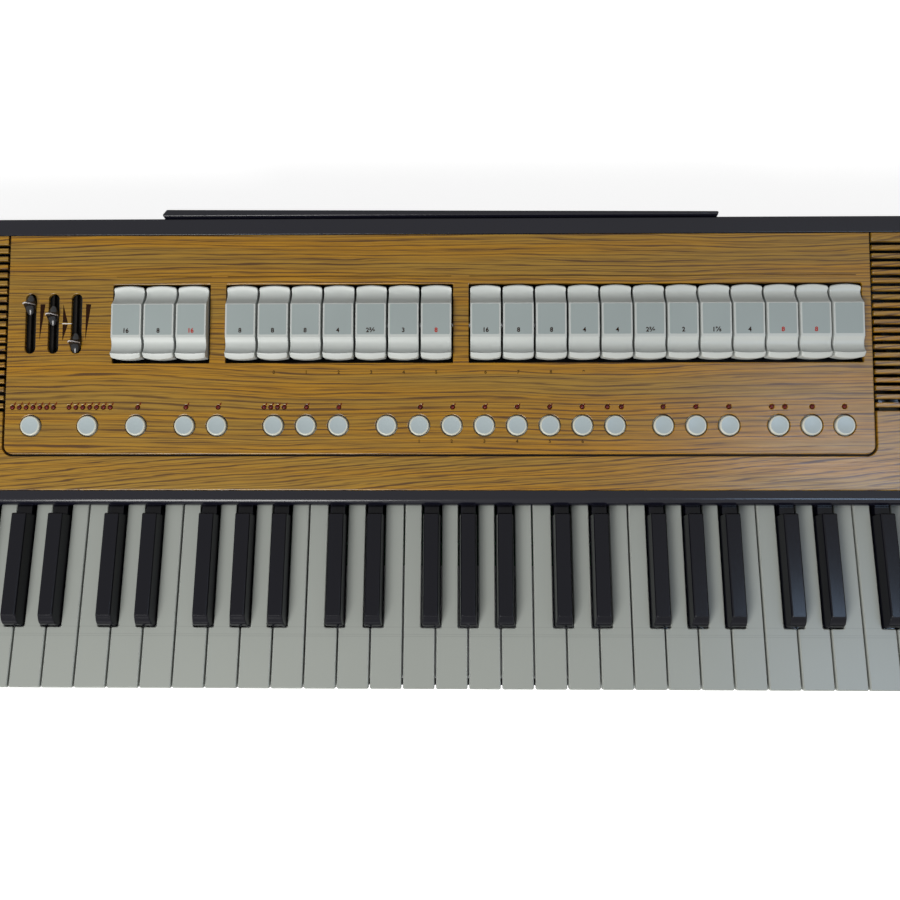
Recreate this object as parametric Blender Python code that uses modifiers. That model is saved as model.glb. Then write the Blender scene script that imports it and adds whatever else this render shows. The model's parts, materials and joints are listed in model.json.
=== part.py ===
"""Portable electronic organ: one manual of five octaves under a sloping oak-faced panel.

Two frames hold the pieces. The keyboard frame has its origin at the middle of the white keys' front
edge, at the height of their tops: x to the right, y to the rear, z up. The panel frame starts at the
oak's front edge and follows its slope: x to the right, y up the slope, z square out of the panel.
All sizes are metres.
"""

import math

import bmesh
import bpy
from mathutils import Matrix, Vector

SEAT = 0.0003  # gap between pieces that rest on each other
BITE = 0.6  # share of a wall that a form joined to it reaches into

# White keys
OCTAVES = 5
OCTAVE_WIDTH = 0.165
KEY_GAP = 0.0011
WHITE_SHOWN = 0.1315  # from the front edge to the key rail
HEAD_LENGTH = 0.0432  # in front of the black keys
WHITE_PLATE = 0.0035
WHITE_DEPTH = 0.017
LIP = 0.0016  # how far the plate stands over the key's body
KEY_EDGE = 0.0007

# Black keys, each set off from the crack below it by its group's spread
PAIR_SPREAD = 0.00214
TRIO_SPREAD = 0.00329
BLACK_BASE = 0.0136
BLACK_TOP = 0.0098
BLACK_RISE = 0.0127
BLACK_SLOPE = 0.0055
BLACK_LENGTH = 0.0815
BLACK_EDGE = 0.0012
BLACK_CLEARANCE = 0.0007
NECK_RISE = 0.0035
NECK_WIDTH = 0.011
NECK_DEPTH = 0.011

# Rear of the key combs, where they turn
WHITE_PIVOT = 0.200
BLACK_PIVOT = 0.216
PIVOT_DROP = 0.012
COMB_RAIL = 0.010
HINGE_LENGTH = 0.012
HINGE_PLATE = 0.0018
WHITE_RAIL_TOP = -0.0008
BLACK_RAIL_TOP = 0.0026
KEY_TRAVEL = 0.010

# Sloping panel
PANEL_SLOPE = math.radians(9.7)
PANEL_SETBACK = 0.010  # from where the white keys vanish to the oak's front edge
PANEL_RISE = 0.0126
PANEL_LENGTH = 0.191
BOARD = 0.005
CONTROL_BOARD = 0.003
CONTROL_WIDTH = 0.641
CONTROL_FRONT = 0.0265
CONTROL_CORNER = 0.0065
GROOVE = 0.0015
REBATE = 0.0035

# Grilles beside the control panel
SLOTS = 21
SLOT_PITCH = 0.00617
SLOT_OPEN = 0.0027
SLOT_LENGTH = 0.113
SLOT_MIDDLE = 0.1213
SPEAKER_RADIUS = 0.050
SPEAKER_DEPTH = 0.040
SPEAKER_FLANGE = 0.0025
CONE_RADIUS = 0.043
CONE_DEPTH = 0.014
SURROUND = 0.004
DUST_CAP_RADIUS = 0.011
DUST_CAP_RISE = 0.005
MAGNET_RADIUS = 0.029
MAGNET_THICKNESS = 0.012
SPEAKER_OUT = 0.0565  # speaker's axis from the groove

# Places across the control panel are counted in steps of one tab from its middle
STEPS_ACROSS = 26.6
STEP = CONTROL_WIDTH / STEPS_ACROSS

# Rocker tabs: left edge and count of each group
TAB_GROUPS = ((-10.017, 3), (-6.502, 7), (1.008, 12))
TAB_GAP = 0.0009
TAB_LENGTH = 0.0554
TAB_MIDDLE = 0.1239
TAB_MARGIN = 0.0019
WELL_END = 0.0003
WELL_DEPTH = 0.021
CRADLE_WALL = 0.0016
SHAFT_DROP = 0.009
SHAFT_RADIUS = 0.002
HUB = 0.0045
TAB_UNDER = 0.0045
TAB_CREST = 0.0068
TAB_SCOOP = 0.0026
TAB_DRAFT = 0.0006
HUB_DROP = 0.0036
LABEL_LENGTH = 0.0232
LABEL_SHIFT = 0.0015  # from the shaft to the label's middle
LABEL_STEP = 0.0033
LABEL_EDGE = 0.0010
LIP_RISE = 0.0040
LIP_LENGTH = 0.0065
LIP_FACE = 0.0032
LIP_SLOPE = 0.0030
FRONT_RAMP = 0.0040
REAR_FLAT = 0.0070

# Slide controls: how far each cap stands above the middle of its travel
SLIDER_FIRST = -12.589
SLIDER_STEPS = 0.714
SLIDER_SETTINGS = (0.015, 0.0056, -0.015)
SLIDER_TRAVEL = 0.030
SLIDER_MIDDLE = 0.1243
SLIDER_SLOT = 0.0078
SLOT_SPARE = 0.0050  # beyond the stem at each end of the travel
CAP_SIZE = (0.0094, 0.0136)
CAP_HEIGHT = 0.009
CAP_RIDGE = 0.0012
CAP_RIM = 0.0012
STEM = (0.0024, 0.0050)
STEM_FREE = 0.0005
TRACK_WIDTH = 0.0040
TRACK_DROP = 0.0045

# Round buttons: name of the moulding, then first button and count of each run on it
BUTTON_STRIPS = (
    ("left_button_strip", ((-12.490, 1), (-10.730, 1), (-9.232, 1), (-7.730, 2))),
    ("middle_button_strip", ((-4.992, 3), (-1.519, 8))),
    ("right_button_strip", ((6.913, 3), (10.402, 3))),
)
BUTTON_STEPS = 0.996
BUTTON_RADIUS = 0.0075
BUTTON_CLEARANCE = 0.0005
BUTTON_RISE = 0.0016
BUTTON_EDGE = 0.0006
BUTTON_ROW = 0.0471
BUTTON_TRAVEL = 0.0012
BUTTON_SPARE = 0.0026  # left under a pressed strip
STRIP_WIDTH = 0.0170
STRIP_THICKNESS = 0.0019
STRIP_OVERHANG = 0.0015

# Lamps above the buttons: first lamp, count and steps between lamps of each run
LAMPS = (
    (-13.071, 7, 0.212),
    (-11.315, 7, 0.213),
    (-9.187, 1, 0.0),
    (-7.697, 2, 0.996),
    (-5.290, 4, 0.208),
    (-3.983, 2, 0.996),
    (-0.486, 6, 0.988),
    (5.220, 2, 0.427),
    (6.913, 3, 0.996),
    (10.203, 2, 0.398),
    (11.423, 2, 0.979),
)
LAMP_ROW = 0.0608
LAMP_RADIUS = 0.0015
LAMP_CLEARANCE = 0.0003
LAMP_RISE = 0.0008
CIRCUIT_BOARD = 0.0016
BOARD_MARGIN = 0.0035
POST_RADIUS = 0.0030

# Rear rail and ledge
RAIL_DEPTH = 0.0127
RAIL_HEIGHT = 0.010
RAIL_EDGE = 0.0025
LEDGE_WIDTH = 0.419
LEDGE_SHIFT = 0.003  # its middle to the right of the keyboard's
LEDGE_DEPTH = 0.0056
LEDGE_TAPER = 0.0030  # less depth at its right end
LEDGE_RISE = 0.0030
LEDGE_HEIGHT = 0.016
LEDGE_END = 0.004
LEDGE_EDGE = 0.001

# Case
CHEEK_WIDTH = 0.0695
CHEEK_WALL = 0.012
CHEEK_FRONT = 0.004
CHEEK_EDGE = 0.006
CHEEK_PROUD = 0.0012
KEY_RAIL_ROUND = 0.0045
KEY_RAIL_FLANGE = 0.015
KEYBOARD_SIDE = 0.0012
KEY_TOP_HEIGHT = 0.076
FOOT_HEIGHT = 0.010
FOOT_RADIUS = 0.012
FOOT_EDGE = 0.0015
FOOT_INSET = (0.060, 0.045)
FLOOR = 0.003
WALL = 0.003
SLIP_SETBACK = 0.003
KEY_FREE = 0.0013  # room left under a pressed key
CHASSIS_DROP = 0.038
SHEET = 0.002
RIB = 0.003
CHASSIS_FRONT = 0.008
CHASSIS_RIBS = (0.020, 0.212)

# Boards and sockets
CONTACT_BOARD = (0.092, 0.140)
DOME_STRIP = (0.108, 0.118)
DOME_HEIGHT = 0.009
DOME_TAPER = 0.001
MAIN_BOARD = (0.220, 0.070)
MAIN_BOARD_PLACE = (0.060, 0.058)  # across, and behind the key combs
CHIP = (0.028, 0.028, 0.003)
CHIPS_X = (-0.045, 0.005)
HEAT_SINK = (0.060, 0.012, 0.022)
HEAT_SINK_PLACE = (0.070, 0.018)
SOCKET_PLATE = (0.176, 0.030)
SOCKET_PLATE_X = -0.180
SOCKET_PLATE_DEPTH = 0.014
SOCKET_PLATE_LIFT = 0.016
JACK_RADIUS = 0.0033
JACK_COUNT = 4
JACK_PITCH = 0.022
DIN_RADIUS = 0.0068
DIN_COUNT = 2
DIN_PITCH = 0.026
INLET = (0.018, 0.010)
SOCKET_DEPTH = 0.011

# Roundness
FINE = 20
ROUND = 12
COARSE = 10
TINY = 6
CORNER = 4
SLOT_END = 6

# What follows from the sizes above
WHITE_PITCH = OCTAVE_WIDTH / 7
KEYBOARD_WIDTH = OCTAVES * OCTAVE_WIDTH + WHITE_PITCH
PANEL_FRONT = WHITE_SHOWN + PANEL_SETBACK
BLOCK_INNER = KEYBOARD_WIDTH / 2 + KEYBOARD_SIDE
OUTER_HALF = BLOCK_INNER + CHEEK_WIDTH
INNER_HALF = OUTER_HALF - CHEEK_WALL
CASE_HALF = INNER_HALF - SEAT
GROOVE_HALF = CONTROL_WIDTH / 2 + GROOVE
FLOOR_TOP = FOOT_HEIGHT + FLOOR - KEY_TOP_HEIGHT
CASE_BOTTOM = FOOT_HEIGHT - KEY_TOP_HEIGHT
RAIL_START = PANEL_LENGTH + SEAT
TAB_WIDTH = STEP - TAB_GAP
WELL_FRONT = TAB_MIDDLE - TAB_LENGTH / 2 - TAB_MARGIN
WELL_BACK = TAB_MIDDLE + TAB_LENGTH / 2 + TAB_MARGIN
SHAFT_LOW = TAB_GROUPS[0][0] * STEP - WELL_END - CRADLE_WALL
SHAFT_HIGH = sum(TAB_GROUPS[-1]) * STEP + WELL_END + CRADLE_WALL
SLOT_RUN = SLIDER_TRAVEL + STEM[1] + 2 * SLOT_SPARE
STRIP_UNDER = CONTROL_BOARD + SEAT + STRIP_THICKNESS
PANEL_BOARD_DROP = STRIP_UNDER + BUTTON_TRAVEL + BUTTON_SPARE


def panel_point(up, out):
    """Where a place on the panel (distance up the slope, distance out) lies in the keyboard frame."""
    y = PANEL_FRONT + up * math.cos(PANEL_SLOPE) - out * math.sin(PANEL_SLOPE)
    z = PANEL_RISE + up * math.sin(PANEL_SLOPE) + out * math.cos(PANEL_SLOPE)
    return y, z


def panel_height(y, out=0.0):
    """Height of the panel, or of a sheet laid parallel to it, over a point of the keyboard frame."""
    return PANEL_RISE + (y - PANEL_FRONT) * math.tan(PANEL_SLOPE) + out / math.cos(PANEL_SLOPE)


RAIL_REAR = panel_point(RAIL_START + RAIL_DEPTH, 0)[0]
RAIL_UNDER = panel_height(RAIL_REAR - WALL, -RAIL_HEIGHT)
LEDGE_REAR = RAIL_REAR + SEAT + LEDGE_DEPTH
REAR_WALL = (RAIL_REAR - WALL, RAIL_REAR)
CENTRE_Y = (LEDGE_REAR - CHEEK_FRONT) / 2


def start():
    """Empties the scene and makes the two collections."""
    for old in list(bpy.data.objects):
        bpy.data.objects.remove(old, do_unlink=True)
    model = bpy.data.collections.new("electronic_organ")
    cutters = bpy.data.collections.new("cutters")
    cutters.hide_render = True
    for group in (model, cutters):
        bpy.context.scene.collection.children.link(group)
    return model, cutters


MODEL, CUTTERS = start()


def material(name, colour, roughness, metallic=0.0):
    made = bpy.data.materials.new(name)
    made.use_nodes = True
    shader = made.node_tree.nodes["Principled BSDF"]
    shader.inputs["Base Color"].default_value = (*colour, 1.0)
    shader.inputs["Roughness"].default_value = roughness
    shader.inputs["Metallic"].default_value = metallic
    made.diffuse_color = (*colour, 1.0)
    return made


OAK = material("oak", (0.33, 0.20, 0.07), 0.45)
ANTHRACITE = material("anthracite_plastic", (0.022, 0.024, 0.034), 0.45)
WHITE_KEYS = material("white_key_plastic", (0.62, 0.63, 0.58), 0.3)
BLACK_KEYS = material("black_key_plastic", (0.016, 0.016, 0.022), 0.35)
TAB_PLASTIC = material("tab_plastic", (0.60, 0.63, 0.60), 0.35)
BUTTON_PLASTIC = material("button_plastic", (0.62, 0.68, 0.70), 0.35)
CAP_PLASTIC = material("slider_cap_plastic", (0.02, 0.02, 0.022), 0.4)
CRADLE_PLASTIC = material("cradle_plastic", (0.02, 0.018, 0.016), 0.6)
STEEL = material("zinc_plated_steel", (0.55, 0.56, 0.58), 0.35, 1.0)
CIRCUIT = material("circuit_board_green", (0.03, 0.16, 0.07), 0.5)
RUBBER = material("rubber", (0.02, 0.02, 0.02), 0.8)
SPEAKER_BLACK = material("speaker_black", (0.03, 0.03, 0.03), 0.85)


def frame(name, place, parent=None, tilt=0.0):
    """An empty that carries a group of pieces."""
    empty = bpy.data.objects.new(name, None)
    MODEL.objects.link(empty)
    empty.location = place
    empty.rotation_euler = (tilt, 0.0, 0.0)
    empty.parent = parent
    return empty


KEYBOARD = frame("keyboard_frame", (0.0, -CENTRE_Y, KEY_TOP_HEIGHT))
PANEL = frame("panel_frame", (0.0, PANEL_FRONT, PANEL_RISE), KEYBOARD, PANEL_SLOPE)


def piece(name, mesh, finish, parent, place=(0.0, 0.0, 0.0)):
    """Puts a finished mesh into the model as one sub-part."""
    obj = bpy.data.objects.new(name, mesh)
    MODEL.objects.link(obj)
    if not mesh.materials:
        mesh.materials.append(finish)
    obj.parent = parent
    obj.location = place
    return obj


def to_mesh(form, name, origin=(0.0, 0.0, 0.0)):
    """Turns a bmesh into a mesh whose own zero is at origin."""
    bmesh.ops.translate(form, verts=form.verts, vec=-Vector(origin))
    bmesh.ops.recalc_face_normals(form, faces=form.faces)
    mesh = bpy.data.meshes.new(name)
    form.to_mesh(mesh)
    form.free()
    return mesh


def box(x, y, z):
    """A block between two limits on each axis."""
    form = bmesh.new()
    bmesh.ops.create_cube(form, size=1.0)
    sides = [high - low for low, high in (x, y, z)]
    middle = [(high + low) / 2 for low, high in (x, y, z)]
    bmesh.ops.scale(form, verts=form.verts, vec=sides)
    bmesh.ops.translate(form, verts=form.verts, vec=middle)
    return form


def block(middle, sides):
    """A block from its middle and its three sides."""
    return box(*[(m - s / 2, m + s / 2) for m, s in zip(middle, sides)])


def raise_outline(points, shift):
    """Draws a closed outline and pulls it along shift to a solid."""
    form = bmesh.new()
    face = form.faces.new([form.verts.new(point) for point in points])
    pulled = bmesh.ops.extrude_face_region(form, geom=[face])["geom"]
    moved = [part for part in pulled if isinstance(part, bmesh.types.BMVert)]
    bmesh.ops.translate(form, verts=moved, vec=shift)
    bmesh.ops.recalc_face_normals(form, faces=form.faces)
    return form


def slab(outline, low, high):
    """An outline of x and y, raised from low to high."""
    return raise_outline([(x, y, low) for x, y in outline], (0.0, 0.0, high - low))


def bar(profile, left, right):
    """A profile of y and z, run from left to right."""
    return raise_outline([(left, y, z) for y, z in profile], (right - left, 0.0, 0.0))


def rod(radius, ends, middle, sides=ROUND, along="z"):
    """A round bar along one axis, through a point of the other two."""
    form = bmesh.new()
    length = ends[1] - ends[0]
    bmesh.ops.create_cone(
        form, cap_ends=True, segments=sides, radius1=radius, radius2=radius, depth=length
    )
    halfway = (ends[0] + ends[1]) / 2
    if along == "x":
        bmesh.ops.rotate(form, verts=form.verts, matrix=quarter_turn("Y"))
        place = (halfway, *middle)
    elif along == "y":
        bmesh.ops.rotate(form, verts=form.verts, matrix=quarter_turn("X"))
        place = (middle[0], halfway, middle[1])
    else:
        place = (*middle, halfway)
    bmesh.ops.translate(form, verts=form.verts, vec=place)
    return form


def quarter_turn(axis):
    return Matrix.Rotation(math.pi / 2, 3, axis)


def soften(form, chosen, width, steps=1):
    """Bevels the edges for which chosen is true."""
    edges = [edge for edge in form.edges if chosen(edge)]
    bmesh.ops.bevel(
        form, geom=edges, offset=width, segments=steps, profile=0.5, affect="EDGES"
    )
    return form


def level(edge, height):
    return all(abs(vert.co.z - height) < 1e-6 for vert in edge.verts)


def arc(centre, radius, first, last, steps):
    """Points on a round corner, from one angle to another in degrees."""
    angles = [math.radians(first + (last - first) * i / steps) for i in range(steps + 1)]
    return [
        (centre[0] + radius * math.cos(a), centre[1] + radius * math.sin(a)) for a in angles
    ]


def oval(sides, first, last):
    """Points on an ellipse of two widths, from one angle to another in degrees."""
    return [(x * sides[0] / 2, y * sides[1] / 2) for x, y in arc((0.0, 0.0), 1.0, first, last, ROUND)]


def hull(points):
    """The tightest convex solid round some points."""
    form = bmesh.new()
    for point in points:
        form.verts.new(point)
    made = bmesh.ops.convex_hull(form, input=form.verts)
    spare = {part for part in made["geom_interior"] if isinstance(part, bmesh.types.BMVert)}
    bmesh.ops.delete(form, geom=list(spare), context="VERTS")
    return form


def crown(back, radius, proud=0.0):
    """Round corner between the panel's slope and an upright rear face."""
    centre = (back - radius, panel_height(back - radius, proud - radius))
    return arc(centre, radius, 90 + math.degrees(PANEL_SLOPE), 0, CORNER)


def combine(name, base, others, operation, origin=(0.0, 0.0, 0.0)):
    """Joins other solids to the base, or cuts them from it, and returns the finished mesh."""
    body = bpy.data.objects.new(name, to_mesh(base, name))
    tool = bpy.data.objects.new(f"{name}_tool", gathered(others, name))
    for helper in (body, tool):
        CUTTERS.objects.link(helper)
    tool.display_type = "WIRE"
    tool.hide_render = True
    modifier = body.modifiers.new(operation.lower(), "BOOLEAN")
    modifier.operation = operation
    modifier.object = tool
    modifier.solver = "EXACT"
    modifier.use_self = True
    bpy.context.view_layer.update()
    graph = bpy.context.evaluated_depsgraph_get()
    finished = bpy.data.meshes.new_from_object(body.evaluated_get(graph))
    for helper in (body, tool):
        spent = helper.data
        bpy.data.objects.remove(helper, do_unlink=True)
        bpy.data.meshes.remove(spent)
    return to_mesh(again(finished), name, origin)


def gathered(forms, name):
    """Several solids as the loose parts of one mesh."""
    whole = bmesh.new()
    for form in forms:
        whole.from_mesh(to_mesh(form, name))
    mesh = bpy.data.meshes.new(name)
    whole.to_mesh(mesh)
    whole.free()
    return mesh


def joined(name, base, others, origin=(0.0, 0.0, 0.0)):
    return combine(name, base, others, "UNION", origin)


def carved(name, base, others, origin=(0.0, 0.0, 0.0)):
    return combine(name, base, others, "DIFFERENCE", origin)


def again(mesh):
    """A finished mesh as a bmesh, for one more operation on it."""
    form = bmesh.new()
    form.from_mesh(mesh)
    bpy.data.meshes.remove(mesh)
    return form


def smooth(mesh, degrees=35):
    mesh.shade_smooth()
    mesh.set_sharp_from_angle(angle=math.radians(degrees))
    return mesh


# Keys


def black_middles():
    """Middles of the five black keys from the left edge of their octave."""
    cracks = ((1, -PAIR_SPREAD), (2, PAIR_SPREAD), (4, -TRIO_SPREAD), (5, 0.0), (6, TRIO_SPREAD))
    return [crack * WHITE_PITCH + spread for crack, spread in cracks]


def tail_limits(number):
    """Left and right side of a white key between the black keys beside it."""
    left = number * WHITE_PITCH + KEY_GAP / 2
    right = (number + 1) * WHITE_PITCH - KEY_GAP / 2
    reach = BLACK_BASE / 2 + BLACK_CLEARANCE
    for middle in black_middles():
        if left - reach < middle < left + WHITE_PITCH / 2:
            left = middle + reach
        elif right - WHITE_PITCH / 2 < middle < right + reach:
            right = middle - reach
    return left, right


def white_outline(head, tail, inset, front, back):
    """Plan of a white key: its head, and the tail between the black keys."""
    shoulder = HEAD_LENGTH - inset
    points = [(head[0] + inset, front), (head[1] - inset, front)]
    if tail[1] < head[1]:
        points += [(head[1] - inset, shoulder), (tail[1] - inset, shoulder)]
    points += [(tail[1] - inset, back), (tail[0] + inset, back)]
    if tail[0] > head[0]:
        points += [(tail[0] + inset, shoulder), (head[0] + inset, shoulder)]
    return points


def white_key(head, tail):
    """The thin top plate and the deeper body of one white key."""
    back = WHITE_PIVOT + COMB_RAIL * BITE
    plate = slab(white_outline(head, tail, 0.0, 0.0, back), -WHITE_PLATE, 0.0)
    soften(plate, lambda edge: level(edge, 0.0), KEY_EDGE)
    inner = white_outline(head, tail, LIP / 2, LIP, WHITE_PIVOT - HINGE_LENGTH)
    body = slab(inner, -WHITE_DEPTH, -WHITE_PLATE * BITE)
    return [plate, body]


def white_rail(left, right):
    """Rail that carries the white keys of a comb at their rear."""
    return box(
        (left + KEY_GAP / 2, right - KEY_GAP / 2),
        (WHITE_PIVOT, WHITE_PIVOT + COMB_RAIL),
        (-PIVOT_DROP, WHITE_RAIL_TOP),
    )


def white_comb_mesh():
    forms = []
    for number in range(7):
        head = (number * WHITE_PITCH + KEY_GAP / 2, (number + 1) * WHITE_PITCH - KEY_GAP / 2)
        forms += white_key(head, tail_limits(number))
    origin = (0.0, WHITE_PIVOT, -PIVOT_DROP)
    return joined("white_key_comb", white_rail(0.0, 7 * WHITE_PITCH), forms, origin)


def top_key_mesh():
    head = (KEY_GAP / 2, WHITE_PITCH - KEY_GAP / 2)
    origin = (0.0, WHITE_PIVOT, -PIVOT_DROP)
    return joined("top_key", white_rail(0.0, WHITE_PITCH), white_key(head, head), origin)


def black_cap(middle):
    """The raised part of a black key: a block drawn in towards its top, with its front sloped back."""
    low = -LIP
    width = (middle - BLACK_BASE / 2, middle + BLACK_BASE / 2)
    front = HEAD_LENGTH + BLACK_CLEARANCE
    form = box(width, (front, front + BLACK_LENGTH), (low, BLACK_RISE))
    for vert in form.verts:
        if vert.co.z > 0:
            vert.co.x = middle + (vert.co.x - middle) * BLACK_TOP / BLACK_BASE
            if vert.co.y < front + BLACK_LENGTH / 2:
                vert.co.y += BLACK_SLOPE
            else:
                vert.co.y -= BLACK_EDGE
    return soften(form, lambda edge: level(edge, BLACK_RISE), BLACK_EDGE)


def black_key(middle):
    """Cap, and the lower neck that runs under the key rail and thins to a hinge plate behind it."""
    hinge_top = BLACK_RAIL_TOP + HINGE_PLATE * (1 - BITE)
    thin = WHITE_PIVOT - HINGE_LENGTH
    back = BLACK_PIVOT + COMB_RAIL * BITE
    profile = [
        (HEAD_LENGTH + 2 * LIP, -NECK_DEPTH),
        (thin, -NECK_DEPTH),
        (thin, hinge_top - HINGE_PLATE),
        (back, hinge_top - HINGE_PLATE),
        (back, hinge_top),
        (thin, NECK_RISE),
        (HEAD_LENGTH + 2 * LIP, NECK_RISE),
    ]
    return [bar(profile, middle - NECK_WIDTH / 2, middle + NECK_WIDTH / 2), black_cap(middle)]


def black_comb_mesh():
    middles = black_middles()
    rail = box(
        (middles[0] - BLACK_BASE, middles[-1] + BLACK_BASE / 2),
        (BLACK_PIVOT, BLACK_PIVOT + COMB_RAIL),
        (-PIVOT_DROP, BLACK_RAIL_TOP),
    )
    forms = [form for middle in middles for form in black_key(middle)]
    return joined("black_key_comb", rail, forms, (0.0, BLACK_PIVOT, -PIVOT_DROP))


def make_keys():
    white = white_comb_mesh()
    black = black_comb_mesh()
    for number in range(OCTAVES):
        left = number * OCTAVE_WIDTH - KEYBOARD_WIDTH / 2
        name = f"octave_{number + 1}"
        piece(f"{name}_white_keys", white, WHITE_KEYS, KEYBOARD, (left, WHITE_PIVOT, -PIVOT_DROP))
        piece(f"{name}_black_keys", black, BLACK_KEYS, KEYBOARD, (left, BLACK_PIVOT, -PIVOT_DROP))
    left = KEYBOARD_WIDTH / 2 - WHITE_PITCH
    piece("top_c_key", top_key_mesh(), WHITE_KEYS, KEYBOARD, (left, WHITE_PIVOT, -PIVOT_DROP))


# Panel


def control_outline(grow, front, back):
    """Plan of the control panel or of the opening for it: round front corners, square at the rear."""
    half = CONTROL_WIDTH / 2 + grow
    radius = CONTROL_CORNER + grow
    left = arc((-half + radius, front + radius), radius, 180, 270, CORNER)
    right = arc((half - radius, front + radius), radius, 270, 360, CORNER)
    return left + right + [(half, back), (-half, back)]


def grille_slots(side):
    inner = GROOVE_HALF - REBATE / 2
    outer = GROOVE_HALF + SLOT_LENGTH
    for number in range(SLOTS):
        middle = SLOT_MIDDLE + (number - (SLOTS - 1) / 2) * SLOT_PITCH
        yield box(
            sorted((side * inner, side * outer)),
            (middle - SLOT_OPEN / 2, middle + SLOT_OPEN / 2),
            (-2 * BOARD, BOARD),
        )


def make_oak_surround():
    """Oak board with a stepped opening for the control panel and a slotted grille on each side."""
    board = box((-CASE_HALF, CASE_HALF), (0.0, PANEL_LENGTH), (-BOARD, 0.0))
    beyond = PANEL_LENGTH + BOARD
    ledge_top = -CONTROL_BOARD - SEAT
    opening = slab(control_outline(GROOVE, CONTROL_FRONT - GROOVE, beyond), ledge_top, BOARD)
    inner = control_outline(-REBATE, CONTROL_FRONT + REBATE, beyond)
    through = slab(inner, -2 * BOARD, ledge_top * BITE)
    cuts = [opening, through]
    for side in (-1, 1):
        cuts += list(grille_slots(side))
    mesh = carved("oak_surround", board, cuts)
    piece("oak_surround", mesh, OAK, PANEL)


def button_middles(runs):
    return [(first + i * BUTTON_STEPS) * STEP for first, count in runs for i in range(count)]


def lamp_middles():
    return [(first + i * steps) * STEP for first, count, steps in LAMPS for i in range(count)]


def well_limits(first, count):
    """Left and right wall of the well round one group of tabs."""
    return first * STEP - WELL_END, (first + count) * STEP + WELL_END


def slider_x(number):
    return (SLIDER_FIRST + number * SLIDER_STEPS) * STEP


def slider_places():
    """Across and up-slope middle of each slider cap as it is set."""
    return [(slider_x(i), SLIDER_MIDDLE + s) for i, s in enumerate(SLIDER_SETTINGS)]


def slot_outline(middle, width, length):
    """A slot with round ends, its length up the slope."""
    straight = (length - width) / 2
    top = arc((middle[0], middle[1] + straight), width / 2, 0, 180, SLOT_END)
    bottom = arc((middle[0], middle[1] - straight), width / 2, 180, 360, SLOT_END)
    return top + bottom


def post_places():
    """Posts under the control panel that hold its circuit board."""
    half = CONTROL_WIDTH / 2 - 4 * BOARD_MARGIN
    row = BUTTON_ROW - STRIP_WIDTH / 2 - POST_RADIUS - LIP
    return [(-half, row), (-half / 3, row), (half / 3, row), (half, row)]


def make_control_panel():
    """Oak-faced control board with three wells, three slots and the holes for buttons and lamps."""
    board = slab(control_outline(0.0, CONTROL_FRONT, PANEL_LENGTH), -CONTROL_BOARD, 0.0)
    through = (-2 * BOARD, BOARD)
    cuts = []
    for first, count in TAB_GROUPS:
        cuts.append(box(well_limits(first, count), (WELL_FRONT, WELL_BACK), through))
    for number in range(len(SLIDER_SETTINGS)):
        middle = (slider_x(number), SLIDER_MIDDLE)
        cuts.append(slab(slot_outline(middle, SLIDER_SLOT, SLOT_RUN), *through))
    for _, runs in BUTTON_STRIPS:
        for x in button_middles(runs):
            cuts.append(rod(BUTTON_RADIUS + BUTTON_CLEARANCE, through, (x, BUTTON_ROW)))
    for x in lamp_middles():
        cuts.append(rod(LAMP_RADIUS + LAMP_CLEARANCE, through, (x, LAMP_ROW), TINY))
    mesh = carved("control_panel", board, cuts)
    upright = (SEAT - PANEL_BOARD_DROP, -CONTROL_BOARD * BITE)
    posts = [rod(POST_RADIUS, upright, place) for place in post_places()]
    piece("control_panel", joined("control_panel", again(mesh), posts), OAK, PANEL)


def slider_tracks():
    """The two sides of each slide control's body, with the stem's way between them."""
    near = STEM[0] / 2 + STEM_FREE
    along = (SLIDER_MIDDLE - SLOT_RUN / 2, SLIDER_MIDDLE + SLOT_RUN / 2)
    upright = (-PANEL_BOARD_DROP - CIRCUIT_BOARD * BITE, -TRACK_DROP)
    for number in range(len(SLIDER_SETTINGS)):
        for side in (-1, 1):
            ends = sorted((slider_x(number) + side * reach for reach in (near, near + TRACK_WIDTH)))
            yield box(ends, along, upright)


def make_panel_board():
    """Circuit board with a lamp standing up into each small hole and the slide controls' bodies."""
    half = CONTROL_WIDTH / 2 - BOARD_MARGIN
    top = -PANEL_BOARD_DROP
    arm = slider_x(len(SLIDER_SETTINGS) - 1) + SLIDER_SLOT + BOARD_MARGIN
    front = CONTROL_FRONT + BOARD_MARGIN
    middle = LAMP_ROW + 3 * BOARD_MARGIN
    back = SLIDER_MIDDLE + SLOT_RUN / 2 + BOARD_MARGIN
    right = [(half, front), (half, middle), (arm, middle), (arm, back)]
    board = slab([(-half, front), *right, (-half, back)], top - CIRCUIT_BOARD, top)
    upright = (top - CIRCUIT_BOARD * BITE, LAMP_RISE)
    lamps = [rod(LAMP_RADIUS, upright, (x, LAMP_ROW), TINY) for x in lamp_middles()]
    parts = [*lamps, *slider_tracks()]
    piece("panel_board", joined("panel_board", board, parts), CIRCUIT, PANEL)


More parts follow.
